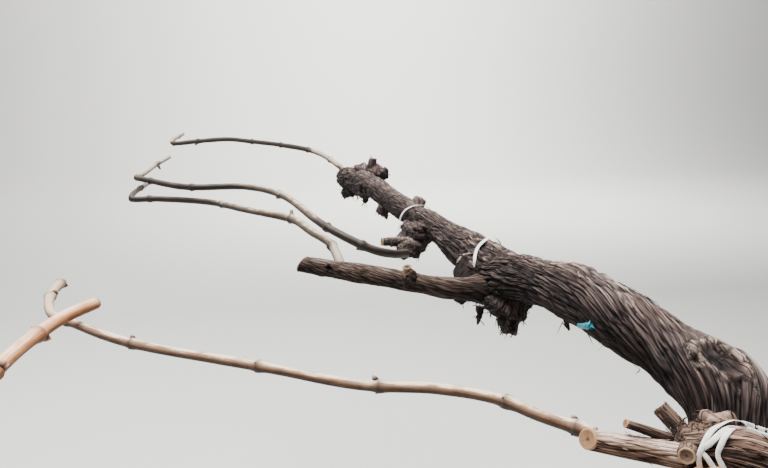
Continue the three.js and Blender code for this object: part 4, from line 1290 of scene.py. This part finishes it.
def cane_material(name, dark, mid, body, light, joint, pale, bud_base, bud_tip):
    """Cane bark: fine lengthwise streaks and specks, darker joints, and stretches gone pale."""
    material, tree = blank_material(name)
    grain = add_node(tree, "ShaderNodeAttribute", {"attribute_name": "grain"}).outputs["Vector"]
    near_joint = add_node(tree, "ShaderNodeAttribute", {"attribute_name": "ridge"}).outputs["Fac"]
    age = add_node(tree, "ShaderNodeAttribute", {"attribute_name": "tone"}).outputs["Fac"]
    weather = add_node(tree, "ShaderNodeAttribute", {"attribute_name": "weather"}).outputs["Fac"]
    bud = add_node(tree, "ShaderNodeAttribute", {"attribute_name": "bud"}).outputs["Fac"]
    drawn = add_node(tree, "ShaderNodeMapping", Vector=grain, Scale=(1, 1, 0.035)).outputs["Vector"]
    # The real streaks are hair-fine. They are drawn 1.6 mm wide, so that they show.
    streak = add_node(
        tree, "ShaderNodeTexNoise", Vector=drawn, Scale=1000 / 1.6, Detail=4.0, Roughness=0.6,
    ).outputs["Fac"]
    cloud = add_node(
        tree, "ShaderNodeTexNoise", Vector=grain, Scale=1000 / 24, Detail=4.0, Roughness=0.6,
    ).outputs["Fac"]
    speck = add_node(tree, "ShaderNodeTexNoise", Vector=grain, Scale=1000 / 1.3, Detail=2.0).outputs["Fac"]
    stretched = add_node(tree, "ShaderNodeMapping", Vector=grain, Scale=(1, 1, 0.16)).outputs["Vector"]
    patch = add_node(
        tree, "ShaderNodeTexNoise", Vector=stretched, Scale=1000 / 5, Detail=4.0, Roughness=0.65,
    ).outputs["Fac"]
    level = cloud
    # Upward faces climb to the light stop, a painted highlight; downward faces fall to the dark stop,
    # painted shade.
    for value, share in ((streak, 0.9), (patch, 1.5), (weather, 2.3)):
        level = add_node(
            tree, "ShaderNodeMath", {"operation": "MULTIPLY_ADD"}, _0=value, _1=share, _2=level,
        ).outputs[0]
    ramp = add_node(tree, "ShaderNodeValToRGB", Fac=add_node(
        tree, "ShaderNodeMapRange", _0=level, _1=2.2, _2=4.0,
    ).outputs[0])
    stops = ramp.color_ramp.elements
    stops[0].color, stops[1].color = linear(dark), linear(light)
    for place, colour in ((0.18, dark), (0.48, mid), (0.84, body)):
        stops.new(place).color = linear(colour)
    # Upper faces turn pale sooner, partly as bleaching and partly as painted top light.
    aging = -0.25
    for value, share in ((streak, 0.5), (weather, 0.7), (age, 0.8)):
        aging = add_node(
            tree, "ShaderNodeMath", {"operation": "MULTIPLY_ADD"}, _0=value, _1=share, _2=aging,
        ).outputs[0]
    reach = add_node(
        tree, "ShaderNodeMath", {"operation": "MULTIPLY_ADD"}, _0=cloud, _1=0.8, _2=near_joint,
    ).outputs[0]
    skin = ramp.outputs["Color"]
    for value, low, high, most, colour in (
        (speck, 0.66, 0.74, 0.7, dark), (aging, 1.0, 1.5, 1.0, pale), (reach, 0.85, 1.4, 0.75, joint),
    ):
        share = add_node(tree, "ShaderNodeMapRange", _0=value, _1=low, _2=high, _4=most).outputs[0]
        skin = add_node(
            tree, "ShaderNodeMix", {"data_type": "RGBA"}, _0=share, _6=skin, _7=linear(colour),
        ).outputs[2]
    scales = add_node(tree, "ShaderNodeValToRGB", Fac=bud)
    scales.color_ramp.elements[0].color = linear(bud_base)
    scales.color_ramp.elements[1].color = linear(bud_tip)
    scales.color_ramp.elements.new(0.55).color = linear(bud_base)
    on_bud = add_node(tree, "ShaderNodeMapRange", _0=bud, _1=0.05, _2=0.3).outputs[0]
    budded = add_node(
        tree, "ShaderNodeMix", {"data_type": "RGBA"}, _0=on_bud, _6=skin, _7=scales.outputs["Color"],
    )
    bumped = add_node(tree, "ShaderNodeBump", Strength=0.6, Distance=0.0004, Height=streak)
    shader = add_node(
        tree, "ShaderNodeBsdfPrincipled", Base_Color=budded.outputs[2], Roughness=0.62,
        Normal=bumped.outputs[0], Specular_IOR_Level=0.35,
    )
    add_node(tree, "ShaderNodeOutputMaterial", Surface=shader.outputs[0])
    return material


# Cane bark: warm brown on the near cane, grey-brown on the far ones, orange-tan and smoother on the
# outer one. All are paler above and darker below: partly bleaching, partly painted top light and painted
# shade.
warm_bark = cane_material(
    "ripe_cane_bark", "#2f1c10", "#604530", "#91715a", "#ecd1ae", "#33241c", "#c4ab90", "#2f1f18", "#c9b29c",
)
grey_bark = cane_material(
    "weathered_cane_bark", "#1f140b", "#45382c", "#635443", "#b9aa92", "#241a15", "#b5a693", "#2a1c16",
    "#bda894",
)
russet_bark = cane_material(
    "russet_cane_bark", "#6f4022", "#b47a4c", "#dba077", "#f6c9a2", "#5c3826", "#e3b98c", "#4a2a1c",
    "#d9a88a",
)


def hang_cane(name, shell, bark):
    """Makes a cane's piece and hangs it on the plant in its node's place."""
    piece = make_piece(name + "_twigs", shell, bark, fresh_cut)
    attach(piece, "root")
    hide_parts(name)


# The near cane rises from the sawn near spur, reaches out to the side, then bends to run forward.
# It is the warmest brown of the five, and pale where its old skin flakes.
NEAR_CANE = [
    [-141, -93, 1331, 5], [-172, -59, 1330.5, 4.9], [-196, -31, 1332, 4.7], [-241, 3, 1329, 4.5],
    [-313, 28, 1328, 4.5], [-403, 82, 1329, 4.4], [-531, 162, 1328, 4.3], [-602, 232, 1326, 4.2],
    [-634, 268, 1325, 4.5], [-650, 319, 1328, 5.0], [-648, 366, 1332, 4.8],
]
hang_cane("cane_near", cane_shell(
    NEAR_CANE, [78, 197, 320, 470, 585, 676, 716, 16], 11, 20, [(200, 216), (600, 740)],
), warm_bark)

# The outer cane is the thick orange-tan one that swings far out on the camera's side.
# Its bark is the smoothest, and it is tied down at its foot by the tapes on the near arm.
OUTER_CANE = [
    [-70, -150, 1326, 9], [-150, -190, 1312, 8.4], [-300, -205, 1302, 8], [-470, -160, 1303, 7.7],
    [-610, -60, 1314, 7.5], [-644, 40, 1332, 7.4], [-634, 114, 1340, 7.2], [-607, 205, 1344, 7.1],
    [-579, 241, 1346, 7],
]
hang_cane("cane_outer", cane_shell(
    OUTER_CANE, [110, 205, 300, 400, 495, 590, 680, 765, 836, 17], 23, 24, [(250, 285), (905, 930)], (), 1.0,
), russet_bark)

# The middle cane starts at the old arm's cut end, pale at its foot.
# It runs forward under the long cane, and its shaded stretch is painted dark, as painted shade.
MIDDLE_CANE = [
    [-250, 432, 1306, 7.2], [-253, 454, 1321, 7], [-259, 482, 1333, 6.8], [-281, 554, 1337, 6.8],
    [-308, 665, 1336, 6.8], [-385, 770, 1332, 6.5], [-472, 880, 1330, 6.2], [-600, 950, 1327, 6],
    [-645, 955, 1326, 5.8], [-656, 1000, 1327, 5.6], [-637, 1199, 1328, 5.2],
]
hang_cane("cane_middle", cane_shell(
    MIDDLE_CANE, [54, 248, 480, 676, 722, 850], 37, 20, [(0, 50), (466, 484), (870, 960)],
    [(500, 860)],
), grey_bark)

# The long cane starts under the spur head, climbs over the middle one and runs out beside it.
# It is painted dark at its foot and on a middle stretch, as painted shade, and bleached pale along its far
# half.
LONG_CANE = [
    [-84, 572, 1281, 7.5], [-130, 527, 1295, 7.2], [-173, 518, 1308, 7], [-246, 574, 1337, 6.9],
    [-315, 806, 1358, 6.7], [-389, 900, 1361, 6.5], [-520, 915, 1360, 6.3], [-606, 1002, 1360, 6],
    [-650, 1060, 1361, 5.8], [-644, 1120, 1361, 5.6], [-630, 1293, 1362, 5.5], [-612, 1454, 1362, 5.3],
]
hang_cane("cane_long", cane_shell(
    LONG_CANE, [135, 217, 462, 701, 844, 905, 1142], 41, 20, [(449, 470), (900, 1110), (1160, 1310)],
    [(0, 250), (600, 895)],
), grey_bark)

# The end cane leaves the cordon's end knob and reaches out farthest, grey at its foot.
# It is the stoutest of the far canes, painted dark in the middle as painted shade, and bleached toward its
# tip.
END_CANE = [
    [-34, 1446, 1306, 9], [-52, 1490, 1324, 8.6], [-105, 1700, 1349, 8.4], [-222, 1859, 1358, 8.4],
    [-329, 1957, 1361, 8.3], [-434, 2035, 1363, 8.2], [-550, 2040, 1354, 8], [-640, 2030, 1345, 7.6],
    [-662, 2085, 1346, 7.2], [-641, 2422, 1350, 6.8],
]
hang_cane("cane_end", cane_shell(
    END_CANE, [130, 316, 470, 618, 865, 966, 1100, 1230], 59, 20, [(40, 290), (980, 1360)],
    [(305, 960)],
), grey_bark)


# The ties: flat white tape pulled round the wood to hold it in its trained shape, a little off the bark.
# It is a soft matt plastic, dusty in its creases.
def tape_loop(points, limbs, width, seed, count=150):
    """A closed loop of flat tape through points in mm, lying flat against the nearest of the limbs."""
    loop = CentreLine([[*p, 1] for p in [*points, points[0]]], side=(0, 0, 1))
    t = loop.station(np.linspace(0, loop.runs[-1], count, endpoint=False))
    middle = loop.at(t)
    out, closest = np.zeros((count, 3)), np.full(count, 1e9)
    for limb in limbs:
        station = limb.station(limb.nearest(middle)[0])
        away = middle - limb.at(station)
        gap = np.linalg.norm(away, axis=1) - limb.radius(station)
        out = np.where((gap < closest)[:, None], unit(away), out)
        closest = np.minimum(gap, closest)
    for _ in range(6):
        out = unit(out + np.roll(out, 1, 0) + np.roll(out, -1, 0))
    tangent = unit(np.roll(middle, -1, 0) - np.roll(middle, 1, 0))
    turn = np.arange(count) / count
    middle = middle + out * (0.8 * swell(turn * 11, 0 * turn + seed, seed=seed, around=11))[:, None]
    roll = 0.3 * swell(turn * 6, 0 * turn + seed, seed=seed + 1, around=6)[:, None]
    flat = unit(np.cross(out, tangent))
    rolled = unit(flat * np.cos(roll) + out * np.sin(roll))
    out = unit(out * np.cos(roll) - flat * np.sin(roll))
    flat = rolled
    corners = ((0.5, 0.0), (0.3, 0.42), (-0.3, 0.42), (-0.5, 0.0), (-0.3, -0.3), (0.3, -0.3))
    grid = np.stack([middle + flat * (a * width) + out * b for a, b in corners], 1)
    here = np.arange(count)[:, None] * 6
    after = (np.arange(count)[:, None] + 1) % count * 6
    k, next_k = np.arange(6)[None, :], (np.arange(6)[None, :] + 1) % 6
    quads = np.stack([here + next_k, after + next_k, after + k, here + k], -1).reshape(-1, 4)
    along = turn * loop.runs[-1]
    section = np.array([[a * width, b, 0] for a, b in corners])
    place = np.stack([0 * along, 0 * along, along], -1)[:, None, :] + section
    return {"points": grid.reshape(-1, 3), "quads": quads, "tris": np.zeros((0, 3), int),
            "grain": place.reshape(-1, 3) / 1000, "paint": np.zeros((count * 6, 1))}


def tilted_ring(line, shape, run, slant, phase, stand):
    """Points round a limb for a tape tilted by a slant in mm, standing off the bark."""
    angle = np.linspace(0, 2 * math.pi, 14, endpoint=False)
    t = line.station(run + slant * np.sin(angle + phase))
    _, across, up = line.frame(t)
    away = shape(t[:, None], angle[:, None])[:, 0] + stand
    return line.at(t) + (across * np.sin(angle)[:, None] + up * np.cos(angle)[:, None]) * away[:, None]


# Soft white plastic tape: milky, with a low gloss, lines along it 0.7 mm apart, and dust on it.
white_tape, tape_tree = blank_material("white_tie_tape")
tape_place = add_node(tape_tree, "ShaderNodeAttribute", {"attribute_name": "grain"}).outputs["Vector"]
tape_drawn = add_node(tape_tree, "ShaderNodeMapping", Vector=tape_place, Scale=(1, 1, 0.1)).outputs["Vector"]
tape_lines = add_node(
    tape_tree, "ShaderNodeTexNoise", Vector=tape_drawn, Scale=1400.0, Detail=3.0,
).outputs["Fac"]
tape_dust = add_node(
    tape_tree, "ShaderNodeTexNoise", Vector=tape_place, Scale=120.0, Detail=5.0, Roughness=0.7,
).outputs["Fac"]
tape_ramp = add_node(tape_tree, "ShaderNodeValToRGB", Fac=tape_dust)
tape_ramp.color_ramp.elements[0].position = 0.3
tape_ramp.color_ramp.elements[1].position = 0.55
tape_ramp.color_ramp.elements[0].color = linear("#a9a297")
tape_ramp.color_ramp.elements[1].color = linear("#f0eeea")
tape_bump = add_node(tape_tree, "ShaderNodeBump", Strength=0.4, Distance=0.0003, Height=tape_lines)
tape_shader = add_node(
    tape_tree, "ShaderNodeBsdfPrincipled", Base_Color=tape_ramp.outputs["Color"], Roughness=0.45,
    Normal=tape_bump.outputs[0], Subsurface_Weight=0.1, Subsurface_Scale=0.002,
)
add_node(tape_tree, "ShaderNodeOutputMaterial", Surface=tape_shader.outputs[0])

ARM_TIE_OUTER = [
    (-91, -148, 1332), (-93, -147, 1341), (-86, -143, 1347), (-76, -138, 1352), (-57, -130, 1351),
    (-45, -129, 1352), (-19, -124, 1341), (-9, -131, 1339), (18, -137, 1335), (46, -118, 1314),
    (45, -128, 1277), (32, -167, 1261), (0, -198, 1269), (-38, -188, 1291), (-72, -165, 1310),
    (-88, -153, 1323),
]
ARM_TIE_CROSSED = [
    (-84, -152, 1335), (-87, -149, 1340), (-89, -145, 1344), (-81, -144, 1348), (-69, -141, 1353),
    (-50, -134, 1351), (-20, -126, 1338), (-11, -133, 1336), (18, -140, 1330), (46, -121, 1308),
    (45, -131, 1272), (31, -169, 1257), (-2, -200, 1265), (-38, -190, 1287), (-66, -171, 1308),
    (-80, -159, 1326),
]
ARM_TIE_INNER = [
    (-78, -156, 1335), (-80, -151, 1343), (-75, -148, 1349), (-69, -145, 1353), (-47, -135, 1350),
    (-21, -129, 1335), (-13, -136, 1332), (17, -143, 1325), (46, -125, 1303), (45, -134, 1268),
    (30, -171, 1253), (-3, -202, 1261), (-37, -192, 1283), (-62, -174, 1305), (-75, -161, 1326),
]
HEAD_TIE = [
    (-58, 331, 1322), (-55, 334, 1338), (-49, 345, 1345), (-40, 356, 1354), (-19, 372, 1361),
    (-2, 383, 1361), (13, 391, 1354), (26, 397, 1334), (27, 394, 1308), (16, 380, 1284),
    (-8, 362, 1272), (-34, 345, 1276), (-53, 335, 1296),
]
TIES = [
    ("tie_cordon", [tilted_ring(stem, stem_radius, 2274, 45, 1.6, 3.4)], 6.0),
    ("tie_head", [HEAD_TIE], 6.5),
    ("tie_arm_outer", [ARM_TIE_OUTER, ARM_TIE_CROSSED], 4.3),
    ("tie_arm_inner", [ARM_TIE_INNER], 4.3),
]
for number, (node, loops, width) in enumerate(TIES):
    strands = [
        tape_loop(loop, (stem, near_arm_line), width, 3 + 2 * number + k) for k, loop in enumerate(loops)
    ]
    tie = make_piece(node + "_tape", together(strands), white_tape)
    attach(tie, "root")
    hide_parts(node)

# The scrap of teal binding under the arch: a few turns of stretched plastic strip with a frayed end.
# It is what is left of an old tie, soft shiny plastic pulled thin.
TEAL_TURNS = 4
teal_steps = np.linspace(0, 1, TEAL_TURNS * 14)
teal_axis = np.array([-4, -25, 11.5])
teal_across = unit(np.cross(teal_axis, [0, 0, 1.0]))
teal_up = unit(np.cross(teal_across, teal_axis))
teal_angle = 2 * math.pi * TEAL_TURNS * teal_steps
teal_radius = 2.5 + 0.8 * np.sin(2.3 * teal_angle) + 1.2 * teal_steps ** 2
teal_spine = np.array([-39, 80, 1339.5]) + teal_axis * teal_steps[:, None]
teal_out = teal_across * np.cos(teal_angle)[:, None] + teal_up * np.sin(teal_angle)[:, None]
teal_spine = teal_spine + teal_out * teal_radius[:, None]
ENDS = 5
frayed = np.array([-43, 55, 1351.0]) + rng.normal(size=(ENDS, 1, 3)) * 1.5
frayed = frayed + unit(rng.normal(size=(ENDS, 1, 3)) + np.array([-0.5, -0.8, 0.2])) * 6 * fray_far
teal_coil = ribbons(
    teal_spine[None], teal_out[None], np.full(1, 4.6), np.full(1, 1.2),
    grain=np.array([[0.1, 0.2, 0.3]]), paint=np.zeros(1), ridge=np.full(1, 0.5),
)
teal_core = turned([(0, 3.0), (0.5, 3.2), (1, 3.4)], (-39, 80, 1339.5), (-43, 55, 1351), 14, 0.1, 8)
teal_core = {k: teal_core[k] for k in teal_coil}
teal_fray = ribbons(
    frayed, np.broadcast_to(np.array([0, 0, 1.0]), frayed.shape), np.full(ENDS, 1.8), np.full(ENDS, 0.5),
    grain=rng.random((ENDS, 3)), paint=np.zeros(ENDS), ridge=np.full(ENDS, 0.5),
)

# Stretched plastic strip: clear teal with a half gloss, clouded dark and light in small patches.
teal_plastic = bpy.data.materials.new("teal_binding_plastic")
teal_plastic.use_nodes = True
teal_tree = teal_plastic.node_tree
teal_place = add_node(teal_tree, "ShaderNodeTexCoord").outputs["Object"]
teal_noise = add_node(
    teal_tree, "ShaderNodeTexNoise", Vector=teal_place, Scale=700.0, Detail=3.0,
).outputs["Fac"]
teal_ramp = add_node(teal_tree, "ShaderNodeValToRGB", Fac=teal_noise)
teal_ramp.color_ramp.elements[0].position = 0.3
teal_ramp.color_ramp.elements[1].position = 0.7
teal_ramp.color_ramp.elements[0].color = linear("#0a5560")
teal_ramp.color_ramp.elements[1].color = linear("#178a99")
teal_shader = teal_tree.nodes["Principled BSDF"]
teal_tree.links.new(teal_ramp.outputs["Color"], teal_shader.inputs["Base Color"])
teal_shader.inputs["Roughness"].default_value = 0.4
tie_teal = make_piece("tie_teal_binding", together([teal_coil, teal_core, teal_fray]), teal_plastic)
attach(tie_teal, "root")
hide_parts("tie_teal")

# The floor and the light: a pale studio floor that turns up into its own backdrop far behind.
# Not part of the vine. A wide soft light from above gives the light of an overcast day.
floor_material = bpy.data.materials.new("pale_floor")
floor_material.use_nodes = True
floor_material.node_tree.nodes["Principled BSDF"].inputs["Base Color"].default_value = linear("#e6e5e1")
floor_material.node_tree.nodes["Principled BSDF"].inputs["Roughness"].default_value = 0.9
FLOOR_REACH, FLOOR_HALF_WIDTH, BEND_RADIUS, BACKDROP_HEIGHT = 12.0, 14.0, 3.0, 9.0
bend_start = FLOOR_REACH - BEND_RADIUS
floor_profile = [(-FLOOR_REACH, 0.0), (bend_start, 0.0)]
floor_profile += [
    (bend_start + BEND_RADIUS * math.sin(a), BEND_RADIUS - BEND_RADIUS * math.cos(a))
    for a in np.linspace(0.1, math.pi / 2, 16)
]
floor_profile += [(FLOOR_REACH, BACKDROP_HEIGHT)]
floor_mesh = bpy.data.meshes.new("floor")
floor_points = [(side * FLOOR_HALF_WIDTH, y, z) for y, z in floor_profile for side in (-1, 1)]
floor_faces = [(2 * i, 2 * i + 1, 2 * i + 3, 2 * i + 2) for i in range(len(floor_profile) - 1)]
floor_mesh.from_pydata(floor_points, [], floor_faces)
floor_mesh.materials.append(floor_material)
floor_mesh.shade_smooth()
floor = bpy.data.objects.new("floor", floor_mesh)
bpy.context.scene.collection.objects.link(floor)

world = bpy.data.worlds.new("sky")
bpy.context.scene.world = world
world.use_nodes = True
world.node_tree.nodes["Background"].inputs["Color"].default_value = linear("#f2f3f6")
world.node_tree.nodes["Background"].inputs["Strength"].default_value = 0.42
for label, place, aim, size, power in (
    ("sky_light", (-0.5, 0.9, 4.4), (-0.1, 0.5, 1.2), 2.2, 420),
    ("bright_side", (-2.6, 2.4, 3.4), (-0.1, 0.5, 1.2), 2.0, 60),
    ("backdrop_light", (2.5, 5.5, 6.0), (3.0, 12.0, 3.5), 6.0, 1900),
):
    lamp = bpy.data.lights.new(label, "AREA")
    lamp.size = size
    lamp.energy = power
    light = bpy.data.objects.new(label, lamp)
    bpy.context.scene.collection.objects.link(light)
    light.location = place
    away = np.array(place) - np.array(aim)
    tilt = math.acos(away[2] / np.linalg.norm(away))
    light.rotation_euler = (tilt, 0, math.atan2(away[1], away[0]) + math.pi / 2)

# The camera: at eye height beside the trunk, looking along the cordon and slightly down.
# Its three directions and its lens give the same view as the photograph.
CAMERA_PLACE = (-0.42, -0.42, 1.6)
CAMERA_RIGHT = (0.96364657, -0.26543513, 0.03048746)
CAMERA_UP = (0.040705, 0.2586291, 0.96511869)
CAMERA_BACK = (-0.26406135, -0.92879232, 0.26003158)
camera_data = bpy.data.cameras.new("camera")
camera_data.sensor_width = 36
camera_data.lens = 25.587
camera_data.clip_start = 0.01
camera = bpy.data.objects.new("camera", camera_data)
bpy.context.scene.collection.objects.link(camera)
camera_turn = Matrix((CAMERA_RIGHT, CAMERA_UP, CAMERA_BACK)).transposed().to_4x4()
camera.matrix_world = Matrix.Translation(CAMERA_PLACE) @ camera_turn
bpy.context.scene.camera = camera
